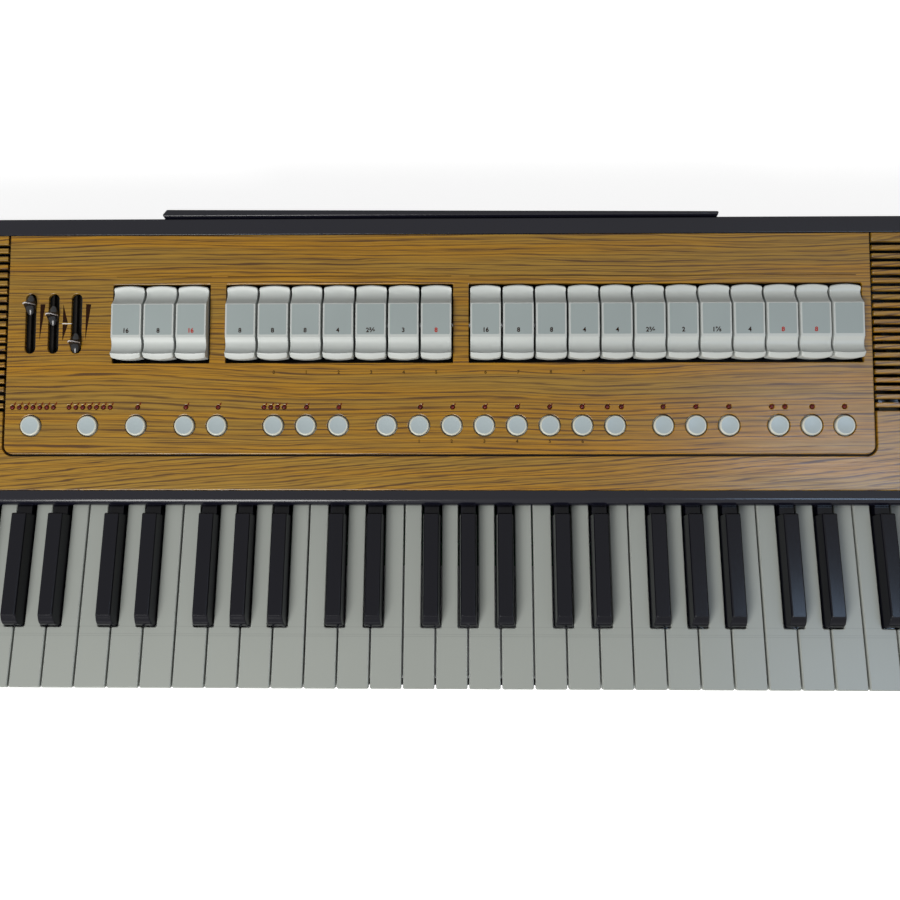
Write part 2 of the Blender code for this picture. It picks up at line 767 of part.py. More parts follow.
def tab_profile():
    """Side view of a rocker tab round its shaft: lip, front scoop, raised label, rear scoop, hub."""
    half = TAB_LENGTH / 2
    crest = SHAFT_DROP + TAB_CREST
    scoop = SHAFT_DROP + TAB_SCOOP
    lip = SHAFT_DROP + LIP_RISE
    under = SHAFT_DROP - TAB_UNDER
    lip_back = LIP_LENGTH - half
    label_front = LABEL_SHIFT - LABEL_LENGTH / 2
    label_back = LABEL_SHIFT + LABEL_LENGTH / 2
    top = [
        (-half, lip - LIP_FACE),
        (-half + LIP_SLOPE, lip),
        (lip_back, lip - TAB_DRAFT),
        (lip_back + FRONT_RAMP, scoop),
        (label_front - LABEL_STEP, scoop + LABEL_EDGE),
        (label_front - LABEL_EDGE, crest - LABEL_EDGE),
        (label_front, crest),
        (label_back, crest),
        (label_back + LABEL_EDGE, crest - LABEL_EDGE),
        (label_back + LABEL_STEP, scoop + LABEL_EDGE),
        (half - REAR_FLAT, scoop),
        (half, scoop),
    ]
    foot = HUB + SHAFT_RADIUS
    hub = [(foot, under), (HUB, -HUB_DROP), (-HUB, -HUB_DROP), (-foot, under)]
    profile = [*top, (half - TAB_DRAFT, under), *hub, (TAB_DRAFT - half, under)]
    return profile[::-1]


def make_tabs():
    """One rocker shape, bored for the shaft, set out in its three groups."""
    body = bar(tab_profile(), -TAB_WIDTH / 2, TAB_WIDTH / 2)
    bore = rod(SHAFT_RADIUS + SEAT, (-TAB_WIDTH, TAB_WIDTH), (0.0, 0.0), COARSE, "x")
    mesh = smooth(carved("rocker_tab", body, [bore]))
    number = 0
    for first, count in TAB_GROUPS:
        for i in range(count):
            number += 1
            place = ((first + i + 0.5) * STEP, TAB_MIDDLE, -SHAFT_DROP)
            piece(f"rocker_tab_{number:02d}", mesh, TAB_PLASTIC, PANEL, place)


def make_tab_cradle():
    """Moulding below the panel: a pocket under each well and the bores that hold the shaft."""
    top = -CONTROL_BOARD - SEAT
    body = box(
        (SHAFT_LOW, SHAFT_HIGH),
        (WELL_FRONT - CRADLE_WALL, WELL_BACK + CRADLE_WALL),
        (-WELL_DEPTH - CRADLE_WALL, top),
    )
    cuts = [
        box(well_limits(first, count), (WELL_FRONT, WELL_BACK), (-WELL_DEPTH, 0.0))
        for first, count in TAB_GROUPS
    ]
    ends = (SHAFT_LOW - CRADLE_WALL, SHAFT_HIGH + CRADLE_WALL)
    cuts.append(rod(SHAFT_RADIUS + SEAT, ends, (TAB_MIDDLE, -SHAFT_DROP), COARSE, "x"))
    piece("tab_cradle", carved("tab_cradle", body, cuts), CRADLE_PLASTIC, PANEL)


def make_tab_shaft():
    form = rod(SHAFT_RADIUS, (SHAFT_LOW, SHAFT_HIGH), (0.0, 0.0), COARSE, "x")
    place = (0.0, TAB_MIDDLE, -SHAFT_DROP)
    piece("tab_shaft", smooth(to_mesh(form, "tab_shaft")), STEEL, PANEL, place)


def slider_cap_form():
    """A cap, its foot drawn in to an arched ridge, on a stem through the slot."""
    width, length = CAP_SIZE
    ridge = oval((width, 2 * (CAP_HEIGHT - SEAT)), 0, 180)
    foot = oval((width, length), 0, 360)[:-1]
    points = [(x, y, z + SEAT) for x, z in ridge for y in (-CAP_RIDGE / 2, CAP_RIDGE / 2)]
    points += [(x, y, SEAT + z) for x, y in foot for z in (0.0, CAP_RIM)]
    cap = hull(points)
    stem = box(
        (-STEM[0] / 2, STEM[0] / 2),
        (-STEM[1] / 2, STEM[1] / 2),
        (SEAT - PANEL_BOARD_DROP, CAP_HEIGHT / 2),
    )
    return cap, stem


def make_sliders():
    cap, stem = slider_cap_form()
    mesh = joined("slider_cap", cap, [stem])
    for number, (x, y) in enumerate(slider_places()):
        piece(f"slider_cap_{number + 1}", mesh, CAP_PLASTIC, PANEL, (x, y, 0.0))


def button_form(x):
    low = -CONTROL_BOARD - STRIP_THICKNESS * BITE
    form = rod(BUTTON_RADIUS, (low, BUTTON_RISE), (x, 0.0))
    return soften(form, lambda edge: level(edge, BUTTON_RISE), BUTTON_EDGE)


def make_buttons():
    """Buttons of a neighbourhood moulded on one strip that bears against the panel from below."""
    for name, runs in BUTTON_STRIPS:
        middles = button_middles(runs)
        reach = BUTTON_RADIUS + STRIP_OVERHANG
        strip = box(
            (middles[0] - reach, middles[-1] + reach),
            (-STRIP_WIDTH / 2, STRIP_WIDTH / 2),
            (-STRIP_UNDER, -CONTROL_BOARD - SEAT),
        )
        mesh = joined(name, strip, [button_form(x) for x in middles])
        piece(name, smooth(mesh), BUTTON_PLASTIC, PANEL, (0.0, BUTTON_ROW, 0.0))


def speaker_profile():
    """Half section of a driver: dust cap, cone, surround, flange, basket and magnet."""
    roll = CONE_RADIUS + SURROUND / 2
    seat = MAGNET_THICKNESS - SPEAKER_DEPTH
    return [
        (0.0, DUST_CAP_RISE - SURROUND - CONE_DEPTH),
        (DUST_CAP_RADIUS, -SURROUND - CONE_DEPTH),
        (CONE_RADIUS, -SURROUND),
        (CONE_RADIUS + SURROUND, 0.0),
        (SPEAKER_RADIUS, 0.0),
        (SPEAKER_RADIUS, -SPEAKER_FLANGE),
        (roll, -SPEAKER_FLANGE - SURROUND / 2),
        (2 * DUST_CAP_RADIUS, seat + SURROUND),
        (MAGNET_RADIUS, seat),
        (MAGNET_RADIUS, -SPEAKER_DEPTH),
        (0.0, -SPEAKER_DEPTH),
    ]


def make_speakers():
    """Two round drivers under the grilles, turned from one half section."""
    points = speaker_profile()
    mesh = bpy.data.meshes.new("speaker")
    edges = [(i, i + 1) for i in range(len(points) - 1)]
    mesh.from_pydata([(x, 0.0, z) for x, z in points], edges, [])
    for side, name in ((-1, "left_speaker"), (1, "right_speaker")):
        x = side * (GROOVE_HALF + SPEAKER_OUT)
        obj = piece(name, mesh, SPEAKER_BLACK, PANEL, (x, SLOT_MIDDLE, -BOARD - SEAT))
        turn = obj.modifiers.new("turn", "SCREW")
        turn.steps = turn.render_steps = FINE
        turn.use_merge_vertices = True
        turn.merge_threshold = 0.00001
        turn.use_normal_calculate = True
        turn.use_smooth_shade = True


# Rails and case


def make_key_rail():
    """Dark rail over the keys' rear: a rounded nose and a flange that reaches under the oak."""
    nose = WHITE_SHOWN
    low = NECK_RISE + LIP
    back = PANEL_FRONT - SEAT
    radius = KEY_RAIL_ROUND
    flange = panel_point(KEY_RAIL_FLANGE, -BOARD - SEAT)
    step = panel_height(back, -BOARD - SEAT)
    profile = [(nose, low)]
    profile += arc((nose + radius, PANEL_RISE - radius - 2 * SEAT), radius, 180, 90, CORNER)
    profile += [(back, PANEL_RISE - SEAT), (back, step), flange, (flange[0], low)]
    form = bar(profile, -BLOCK_INNER + SEAT, BLOCK_INNER - SEAT)
    piece("key_rail", smooth(to_mesh(form, "key_rail")), ANTHRACITE, KEYBOARD)


def make_rear_rail():
    """Dark rail along the rear edge, with a rounded upper rear corner."""
    front_top = panel_point(RAIL_START, 0.0)
    front_low = panel_point(RAIL_START, -RAIL_HEIGHT)
    rear_low = (RAIL_REAR, panel_height(RAIL_REAR, -RAIL_HEIGHT))
    profile = [front_low, front_top, *crown(RAIL_REAR, RAIL_EDGE), rear_low]
    form = bar(profile, -CASE_HALF, CASE_HALF)
    piece("rear_rail", smooth(to_mesh(form, "rear_rail")), ANTHRACITE, KEYBOARD)


def make_ledge():
    """Low ledge for the music rest along the middle of the rear rail."""
    top = panel_height(RAIL_REAR) + LEDGE_RISE
    left = LEDGE_SHIFT - LEDGE_WIDTH / 2
    right = LEDGE_SHIFT + LEDGE_WIDTH / 2
    front = RAIL_REAR + SEAT
    back = [(right - LEDGE_END, LEDGE_REAR - LEDGE_TAPER), (left + LEDGE_END, LEDGE_REAR)]
    form = slab([(left, front), (right, front), *back], top - LEDGE_HEIGHT, top)
    soften(form, lambda edge: level(edge, top), LEDGE_EDGE)
    piece("music_rest_ledge", smooth(to_mesh(form, "music_rest_ledge")), ANTHRACITE, KEYBOARD)


def cheek_nose(front, top):
    """Rounded upper front corner of a cheek or of the block on it."""
    return arc((front + CHEEK_EDGE, top - CHEEK_EDGE), CHEEK_EDGE, 180, 90, CORNER)


def cheek_profile():
    """Side view of an end cheek: level beside the keys, then rising with the panel."""
    rise = PANEL_FRONT + CHEEK_EDGE
    profile = [(-CHEEK_FRONT, CASE_BOTTOM), *cheek_nose(-CHEEK_FRONT, PANEL_RISE)]
    profile += [(PANEL_FRONT, PANEL_RISE), (rise, panel_height(rise, CHEEK_PROUD))]
    profile += [*crown(RAIL_REAR, CHEEK_EDGE, CHEEK_PROUD), (RAIL_REAR, CASE_BOTTOM)]
    return profile


def make_cheeks():
    """End cheeks: a thin side wall with the block that closes the key well beside it."""
    low = FLOOR_TOP + SEAT
    front = SEAT - CHEEK_FRONT
    flat = PANEL_RISE - SEAT
    back = PANEL_FRONT - SEAT
    fill_profile = [(front, low), *cheek_nose(front, flat), (back, flat), (back, low)]
    for side, name in ((-1, "left_cheek"), (1, "right_cheek")):
        wall = bar(cheek_profile(), *sorted((side * INNER_HALF, side * OUTER_HALF)))
        outer = side * (INNER_HALF + CHEEK_WALL * BITE)
        fill = bar(fill_profile, *sorted((side * BLOCK_INNER, outer)))
        piece(name, joined(name, wall, [fill]), ANTHRACITE, KEYBOARD)


def case_profile():
    """Section of the bottom case: floor, front slip, two ribs under the key chassis, rear wall."""
    rest = -CHASSIS_DROP - SEAT
    slip_top = -WHITE_DEPTH - KEY_TRAVEL - KEY_FREE
    front = SLIP_SETBACK
    points = [(front, CASE_BOTTOM), (REAR_WALL[1], CASE_BOTTOM), (REAR_WALL[1], RAIL_UNDER - SEAT)]
    points += [(REAR_WALL[0], RAIL_UNDER - SEAT), (REAR_WALL[0], FLOOR_TOP)]
    for rib in reversed(CHASSIS_RIBS):
        points += [(rib + RIB, FLOOR_TOP), (rib + RIB, rest), (rib, rest), (rib, FLOOR_TOP)]
    points += [(front + WALL, FLOOR_TOP), (front + WALL, slip_top), (front, slip_top)]
    return points


def socket_plate_limits(gap):
    middle_z = FLOOR_TOP + SOCKET_PLATE_LIFT + SOCKET_PLATE[1] / 2
    half_x = SOCKET_PLATE[0] / 2 + gap
    half_z = SOCKET_PLATE[1] / 2 + gap
    across = (SOCKET_PLATE_X - half_x, SOCKET_PLATE_X + half_x)
    return across, (middle_z - half_z, middle_z + half_z)


def make_bottom_case():
    case = bar(case_profile(), -CASE_HALF, CASE_HALF)
    clear_back = CHASSIS_RIBS[1] + 2 * RIB
    cuts = []
    for side in (-1, 1):
        across = sorted((side * (BLOCK_INNER - SEAT), side * OUTER_HALF))
        cuts.append(box(across, (-WALL, clear_back), (FLOOR_TOP, 0.0)))
    across, upright = socket_plate_limits(SEAT)
    cuts.append(box(across, (REAR_WALL[0] - WALL, REAR_WALL[1] + WALL), upright))
    piece("bottom_case", carved("bottom_case", case, cuts), ANTHRACITE, KEYBOARD)


def make_socket_plate():
    """Rear plate with the mains inlet, four jack sockets and two round multi-pin sockets."""
    across, upright = socket_plate_limits(0.0)
    back = REAR_WALL[1]
    body = box(across, (back - SOCKET_PLATE_DEPTH, back), upright)
    z = sum(upright) / 2
    span = (back - SOCKET_DEPTH, back + SOCKET_DEPTH)
    x = across[0] + JACK_PITCH
    cuts = [block((x, back, z), (INLET[0], 2 * SOCKET_DEPTH, INLET[1]))]
    for _ in range(DIN_COUNT):
        x += DIN_PITCH
        cuts.append(rod(DIN_RADIUS, span, (x, z), COARSE, "y"))
    for _ in range(JACK_COUNT):
        x += JACK_PITCH
        cuts.append(rod(JACK_RADIUS, span, (x, z), COARSE, "y"))
    piece("socket_plate", carved("socket_plate", body, cuts), ANTHRACITE, KEYBOARD)


def make_chassis():
    """Folded sheet under the keys, raised at the rear to a shelf for the key combs."""
    base = -CHASSIS_DROP
    shelf = -PIVOT_DROP - SEAT
    shelf_front = WHITE_PIVOT
    back = BLACK_PIVOT + COMB_RAIL + SHEET
    stop = -WHITE_DEPTH - KEY_TRAVEL - KEY_FREE
    profile = [
        (CHASSIS_FRONT, base),
        (back, base),
        (back, shelf),
        (shelf_front, shelf),
        (shelf_front, shelf - SHEET),
        (back - SHEET, shelf - SHEET),
        (back - SHEET, base + SHEET),
        (CHASSIS_FRONT + SHEET, base + SHEET),
        (CHASSIS_FRONT + SHEET, stop),
        (CHASSIS_FRONT, stop),
    ]
    half = KEYBOARD_WIDTH / 2
    piece("key_chassis", to_mesh(bar(profile, -half, half), "key_chassis"), STEEL, KEYBOARD)


def make_contact_board():
    """Circuit board on the chassis with the strip of rubber domes under the keys."""
    low = -CHASSIS_DROP + SHEET + SEAT
    top = low + CIRCUIT_BOARD
    profile = [
        (CONTACT_BOARD[0], low),
        (CONTACT_BOARD[1], low),
        (CONTACT_BOARD[1], top),
        (DOME_STRIP[1], top),
        (DOME_STRIP[1] - DOME_TAPER, top + DOME_HEIGHT),
        (DOME_STRIP[0] + DOME_TAPER, top + DOME_HEIGHT),
        (DOME_STRIP[0], top),
        (CONTACT_BOARD[0], top),
    ]
    half = KEYBOARD_WIDTH / 2 - SHEET
    piece("contact_board", to_mesh(bar(profile, -half, half), "contact_board"), CIRCUIT, KEYBOARD)


def make_main_board():
    """Sound board on the case floor with two chips and the output stage's heat sink."""
    low = FLOOR_TOP + SEAT
    top = low + CIRCUIT_BOARD
    sunk = CIRCUIT_BOARD * BITE
    x = MAIN_BOARD_PLACE[0]
    y = BLACK_PIVOT + COMB_RAIL + MAIN_BOARD_PLACE[1]
    board = block((x, y, low + CIRCUIT_BOARD / 2), (*MAIN_BOARD, CIRCUIT_BOARD))
    places = [(chip, 0.0, CHIP) for chip in CHIPS_X] + [(*HEAT_SINK_PLACE, HEAT_SINK)]
    parts = []
    for across, along, (width, depth, height) in places:
        middle = (x + across, y + along, top + (height - sunk) / 2)
        parts.append(block(middle, (width, depth, height + sunk)))
    piece("main_board", joined("main_board", board, parts), CIRCUIT, KEYBOARD)


def make_feet():
    """Four rubber feet under the floor."""
    form = rod(FOOT_RADIUS, (0.0, FOOT_HEIGHT - SEAT), (0.0, 0.0))
    soften(form, lambda edge: level(edge, 0.0), FOOT_EDGE)
    mesh = smooth(to_mesh(form, "foot"))
    x = CASE_HALF - FOOT_INSET[0]
    front = SLIP_SETBACK + FOOT_INSET[1]
    back = REAR_WALL[1] - FOOT_INSET[1]
    for end, y in (("front", front), ("rear", back)):
        for side, place in (("left", -x), ("right", x)):
            piece(f"{end}_{side}_foot", mesh, RUBBER, KEYBOARD, (place, y, -KEY_TOP_HEIGHT))


def main():
    make_bottom_case()
    make_cheeks()
    make_chassis()
    make_contact_board()
    make_main_board()
    make_socket_plate()
    make_feet()
    make_keys()
    make_key_rail()
    make_oak_surround()
    make_control_panel()
    make_panel_board()
    make_tab_cradle()
    make_tab_shaft()
    make_tabs()
    make_sliders()
    make_buttons()
    make_speakers()
    make_rear_rail()
    make_ledge()
    bpy.context.view_layer.update()


main()
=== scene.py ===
"""Look of a portable electronic organ: keys, oak panel, rocker tabs, slide controls, buttons and case.

Two frames place the pieces. The keyboard frame starts at the middle of the white keys' front edge, at
the height of their tops. The panel frame starts at the oak's front edge and follows its slope: x to
the right, y up the slope, z square out of the panel. All sizes are metres.
"""

import json
import math

import bmesh
import bpy
import numpy as np
from bpy.props import FloatProperty, FloatVectorProperty, IntProperty, PointerProperty
from mathutils import Matrix, Vector


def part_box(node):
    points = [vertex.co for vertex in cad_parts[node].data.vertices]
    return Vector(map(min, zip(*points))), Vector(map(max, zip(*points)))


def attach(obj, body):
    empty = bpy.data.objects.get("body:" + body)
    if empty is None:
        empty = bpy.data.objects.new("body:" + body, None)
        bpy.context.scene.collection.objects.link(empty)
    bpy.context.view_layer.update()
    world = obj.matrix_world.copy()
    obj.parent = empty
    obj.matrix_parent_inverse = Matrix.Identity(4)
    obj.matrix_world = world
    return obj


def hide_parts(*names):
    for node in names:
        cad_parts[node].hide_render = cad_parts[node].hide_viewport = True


bl_info = {
    "name": "Electronic organ look",
    "version": (1, 0, 0),
    "blender": (4, 5, 0),
    "location": "3D View > Sidebar > Organ",
    "description": "Dresses the parts of an electronic organ and sets up its studio",
    "category": "Object",
}

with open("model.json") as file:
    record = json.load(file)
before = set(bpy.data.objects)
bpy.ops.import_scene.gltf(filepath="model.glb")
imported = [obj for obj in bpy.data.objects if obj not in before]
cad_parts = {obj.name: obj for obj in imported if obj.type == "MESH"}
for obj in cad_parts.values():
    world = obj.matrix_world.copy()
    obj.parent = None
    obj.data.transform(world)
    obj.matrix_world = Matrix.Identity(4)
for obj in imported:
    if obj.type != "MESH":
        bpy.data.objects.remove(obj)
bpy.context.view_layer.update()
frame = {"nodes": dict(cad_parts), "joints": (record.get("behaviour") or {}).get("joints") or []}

# Keyboard
OCTAVES = 5
KEYS_IN_OCTAVE = 7
KEY_GAP = 0.0011
HEAD_LENGTH = 0.0432
WHITE_DEPTH = 0.017
WHITE_PLATE = 0.0035
LIP = 0.0016
SKIRT_INSET = LIP * 0.6
MOULDING_LINES = (0.0369, 0.0383, 0.0435)  # distances of the fine lines from the heads' front edge
BLACK_BASE = 0.0136
BLACK_LENGTH = 0.0815
BLACK_CLEARANCE = 0.0007
BLACK_FOOT = 0.0016
BLACK_CORNER = 0.0010
BLACK_REAR = (0.0006, 0.0012)  # how far a black key's rear draws in up to the chamfer, and over it
CHAMFER_LEAN = 0.0007
PAIR_SPREAD = 0.00214
TRIO_SPREAD = 0.00329
NECK_RISE = 0.0035
NECK_WIDTH = 0.011
NECK_DEPTH = 0.011
NECK_CORNER = 0.0008
NECK_EDGE = 0.0006
STRAP = (0.0015, 0.0033)  # underside and top of the strap behind a neck
STRAP_LAP = 0.001
RAIL_BLOCK = 0.010
COMB_UNDERSIDE = -0.012
WHITE_COMB_TOP = -0.0008
BLACK_COMB_TOP = 0.0026
HINGE_LENGTH = 0.012

# Panel: tabs, slide controls, buttons and lamps are placed along x in steps of one tab
CONTROL_WIDTH = 0.641
CONTROL_FRONT = 0.0265
CONTROL_CORNER = 0.0065
CONTROL_REAR_CORNER = 0.0004
CONTROL_BOARD = 0.003
STEP = CONTROL_WIDTH / 26.6
BOARD = 0.005
BOARD_DROP = 0.009
CIRCUIT_BOARD = 0.0016
SEAT = 0.0003
SEAT_EDGE = 0.0001
PANEL_SETBACK = 0.010
GROOVE = 0.0015
REBATE = 0.0035
GRILLE_SLOTS = 21
GRILLE_PITCH = 0.00617
GRILLE_OPEN = 0.0027
GRILLE_LENGTH = 0.113
GRILLE_MIDDLE = 0.1213

# Printed marks
PRINT_LIFT = 0.00006
INK_SPREAD = 0.03
HEADER_ROW = 0.1591
HEADER_RULES = ((-0.2394, -0.1682), (-0.1561, 0.0110), (0.0244, 0.3098))
WEDGE_REACH = (0.1111, 0.1389)
WEDGE_MIDDLE = 0.1242
WEDGE_WIDTH = 0.0038
WEDGE_GAP = 0.0008
WEDGE_PLACE = 0.0070
MIDDLE_LINE = (-0.0005, 0.0066)  # ends of the pale line, from the wedge's upright side
MIDDLE_LINE_HALF = 0.0003
# The leaf beside each lamp is not a print: it is painted red light from the lamp on the oak
LEAF_LENGTH = 0.0034
LEAF_START = (0.0011, 0.0009)
LEAF_LEAN = (0.5, 1.0)
LEAF_HALF_WIDTH = 0.0006
TAB_FIGURE_ROW = 0.0872
BUTTON_FIGURE_ROW = 0.0359
BUTTON_FIGURES = (-0.523, 6)

# Tabs
TAB_GROUPS = ((-10.017, 3), (-6.502, 7), (1.008, 12))
TAB_MIDDLE = 0.1239
TAB_LENGTH = 0.0554
TAB_MARGIN = 0.0019
TAB_GAP = 0.0007
WELL_END = 0.0003
WELL_CORNER = 0.0008
SHAFT_DROP = 0.009
SHAFT_RADIUS = 0.002
LABEL_FACE = (-0.0112, 0.0132)  # front and rear end of the label face, from the tab's middle
TAB_LIP = (0.0038, 0.0024)  # length and fall of the front lip
FRONT_HOLLOW = 0.0127
REAR_STRAIGHT = 0.0032
REAR_OVERHANG = 0.0008
REAR_ROUND = 0.0012
END_REACH = 0.007
TAB_UNDERSIDE = 0.0045
UNDER_ENDS = (0.0006, 0.0002)  # how far the underside stops short in front and goes past at the rear
HUB = (0.0065, 0.0045)  # half of the hub's length at the underside and at its foot
HUB_FOOT = -0.0036
HUB_CLEARANCE = 0.0003
FILM_REACH = (0.0096, 0.0130)
FILM_MARGIN = 0.0013
FILM_CORNER = 0.0008
FILM = 0.0001
MARK_SIZE = 0.0046
MARK_PLACE = 0.0066
MARK_LIFT = 0.00016

# Slide controls
SLIDER_FIRST = -12.589
SLIDER_STEPS = 0.714
SLIDER_MIDDLE = 0.1243
SLIDER_SETTINGS = (0.0137, 0.0056, -0.015)
SLIDER_SLOT = (0.0078, 0.045)
STEM = (0.0024, 0.0050)
STEM_TOP = 0.002
CAP_FOOT = 0.0009
CAP_RIDGE = 0.0005
CAP_SIDES = 32
INDEX_HALF_WIDTH = 0.00032
INDEX_RISE = 0.00012
INDEX_DEPTH = 0.0005
TRACK = (0.0017, 0.0057)  # near and far side of a slide control's body from its middle
TRACK_MARGIN = 0.004
TRACK_DROP = 0.0045
TRACK_FLOOR = 0.0002

# Buttons and lamps
BUTTON_STRIPS = (  # each run's first place and its count
    ("left_button_strip", ((-12.490, 1), (-10.730, 1), (-9.232, 1), (-7.730, 2))),
    ("middle_button_strip", ((-4.992, 3), (-1.519, 8))),
    ("right_button_strip", ((6.913, 3), (10.402, 3))),
)
BUTTON_STEPS = 0.996
BUTTON_RADIUS = 0.0073
BUTTON_HOLE = 0.0081
BUTTON_ROW = 0.0476
BUTTON_RISE = 0.0016
BUTTON_SKIRT = 0.0008
RIM_FLAT = 0.0002
STRIP_MARGIN = 0.0015
STRIP_HALF_DEPTH = 0.0085
STRIP_LEVELS = (-0.0052, -0.0033)
ON_AXIS = 0.00001  # the least radius of a turned profile
LAMPS = (  # each run's first place, its count and its steps
    (-13.071, 7, 0.212),
    (-11.315, 7, 0.213),
    (-9.187, 1, 0.0),
    (-7.697, 2, 0.996),
    (-5.290, 4, 0.208),
    (-3.983, 2, 0.996),
    (-0.486, 6, 0.988),
    (5.220, 2, 0.427),
    (6.913, 3, 0.996),
    (10.203, 2, 0.398),
    (11.423, 2, 0.979),
)
LAMP_ROW = 0.0614
LAMP_RADIUS = 0.0015
LAMP_CLEARANCE = 0.0002
CIRCUIT_ROWS = (0.0300, 0.0713, 0.1503)  # front edge, step and rear edge of the board with the lamps
CIRCUIT_MARGIN = 0.0035
CIRCUIT_ARM = 0.0113

# Rails and ledge
KEY_RAIL_ROUND = 0.0045
KEY_RAIL_FLANGE = 0.015
RAIL_DEPTH = 0.0127
RAIL_HEIGHT = 0.010
LEDGE_END = 0.004
LEDGE_TAPER = 0.0030
LEDGE_CORNER = 0.0012
LEDGE_EDGE = 0.0010
RAIL_EDGE = 0.0012
RAIL_CHAMFER = ((0.0, -0.0006), (0.0002, -0.0002), (0.0006, 0.0))
RAIL_BACK_LIFT = 0.002
CASE_EDGE = 0.0005
PLATE_EDGE = 0.0002

# Generic numbers on the tabs' labels, and the first of the tabs that have a figure below them
FIRST_FIGURE_TAB = 4
FIGURES = 10
PITCH_MARKS = (
    "16", "8", "16", "8", "8", "8", "4", "2⅔", "3", "8", "16",
    "8", "8", "4", "4", "2⅔", "2", "1⅗", "4", "8", "8", "",
)
RED_MARKS = (3, 10, 20, 21)

# Photograph's viewing angle
CAMERA_PLACE = (0.022436, -0.16771, 0.771038)
CAMERA_PITCH = 0.24039
CAMERA_YAW = 0.01813
CAMERA_ROLL = 0.00409
CAMERA_LENS = 38.0
CAMERA_SENSOR = 36.0

# Studio
FLOOR_DROP = 0.0002
FLOOR_GLOW = 0.72
MAIN_LIGHT = (-0.58, -1.15, 1.22)
MAIN_AIM = (0.0, 0.05, 0.1)
MAIN_SIZE = (0.7, 0.7)
SIDE_LIGHT = (0.92, -0.26, 1.30)
SIDE_AIM = (0.3, 0.0, 0.1)
SIDE_SIZE = (0.36, 0.72)


# Settings


class OrganKeys(bpy.types.PropertyGroup):
    """Edges and facets of the white and black keys."""

    white_edge: FloatProperty(
        name="White edge", description="Radius along a key's top", default=0.0009, subtype="DISTANCE"
    )
    white_corner: FloatProperty(
        name="White corner", description="Radius of a key's corners", default=0.0013, subtype="DISTANCE"
    )
    black_flat: FloatProperty(
        name="Black flat", description="Width of the flat top", default=0.0086, subtype="DISTANCE"
    )
    black_shoulder: FloatProperty(
        name="Black shoulder", description="Width at the chamfer's foot", default=0.0108, subtype="DISTANCE"
    )
    black_chamfer: FloatProperty(
        name="Black chamfer", description="Height of the chamfer", default=0.0011, subtype="DISTANCE"
    )
    black_slope: FloatProperty(
        name="Black slope", description="How far the front leans back", default=0.0062, subtype="DISTANCE"
    )


class OrganPanel(bpy.types.PropertyGroup):
    """Edges of the boards and size of the print on them."""

    board_edge: FloatProperty(
        name="Board edge", description="Rounding along the boards' edges", default=0.0006, subtype="DISTANCE"
    )
    rule_width: FloatProperty(
        name="Rule width", description="Width of a printed line", default=0.0005, subtype="DISTANCE"
    )
    figure_height: FloatProperty(
        name="Figure height", description="Size of the small numbers", default=0.0036, subtype="DISTANCE"
    )


class OrganTabs(bpy.types.PropertyGroup):
    """Form of a rocker tab."""

    crest: FloatProperty(
        name="Crest", description="Height of the label face", default=0.0068, subtype="DISTANCE"
    )
    front_slope: FloatProperty(
        name="Front slope", description="Fall where the front hollow starts", default=0.85
    )
    front_bend: FloatProperty(name="Front bend", description="Curvature of the front hollow", default=150.0)
    rear_slope: FloatProperty(name="Rear slope", description="Fall where the rear hollow starts", default=1.0)
    rear_bend: FloatProperty(name="Rear bend", description="Curvature of the rear hollow", default=150.0)
    bulge: FloatProperty(
        name="Bulge", description="How far the ends curve out in plan", default=0.0014, subtype="DISTANCE"
    )
    corner: FloatProperty(
        name="Corner", description="Corner radius in plan", default=0.0011, subtype="DISTANCE"
    )
    edge: FloatProperty(
        name="Edge", description="Radius along the long edges", default=0.0005, subtype="DISTANCE"
    )


class OrganControls(bpy.types.PropertyGroup):
    """Form of the buttons, lamps and slider caps."""

    dish: FloatProperty(
        name="Dish", description="Depth of the hollow in a button", default=0.0004, subtype="DISTANCE"
    )
    dish_radius: FloatProperty(
        name="Dish radius", description="Radius of the hollow in a button", default=0.0061, subtype="DISTANCE"
    )
    lamp_rise: FloatProperty(
        name="Lamp rise", description="Height of a lamp's dome", default=0.0008, subtype="DISTANCE"
    )
    cap_height: FloatProperty(
        name="Cap height", description="Height of a slider cap", default=0.0102, subtype="DISTANCE"
    )
    cap_half_width: FloatProperty(
        name="Cap half width", description="Half a cap's width", default=0.0043, subtype="DISTANCE"
    )
    cap_half_length: FloatProperty(
        name="Cap half length", description="Half the length of its foot", default=0.0074, subtype="DISTANCE"
    )
    sides: IntProperty(name="Sides", description="Sides of a round form", default=40, min=8)


class OrganColours(bpy.types.PropertyGroup):
    """Colours of the wood, the plastics and the labels."""

    oak_gold: FloatVectorProperty(
        name="Oak gold", description="Light bands of the oak", default=(0.350, 0.166, 0.003), subtype="COLOR"
    )
    oak_olive: FloatVectorProperty(
        name="Oak olive", description="Dull bands of the oak", default=(0.294, 0.166, 0.018), subtype="COLOR"
    )
    oak_dark: FloatVectorProperty(
        name="Oak dark", description="Dark lines of the oak", default=(0.060, 0.022, 0.001), subtype="COLOR"
    )
    case: FloatVectorProperty(
        name="Case", description="Case, rails and ledge", default=(0.005, 0.005, 0.010), subtype="COLOR"
    )
    white_key: FloatVectorProperty(
        name="White key", description="White keys", default=(0.304, 0.323, 0.300), subtype="COLOR"
    )
    black_key: FloatVectorProperty(
        name="Black key", description="Black keys", default=(0.003, 0.003, 0.006), subtype="COLOR"
    )
    tab: FloatVectorProperty(
        name="Tab", description="Rocker tabs", default=(0.485, 0.512, 0.495), subtype="COLOR"
    )
    label: FloatVectorProperty(
        name="Label", description="Films on the tabs", default=(0.300, 0.345, 0.343), subtype="COLOR"
    )
    button: FloatVectorProperty(
        name="Button", description="Round buttons", default=(0.52, 0.53, 0.46), subtype="COLOR"
    )


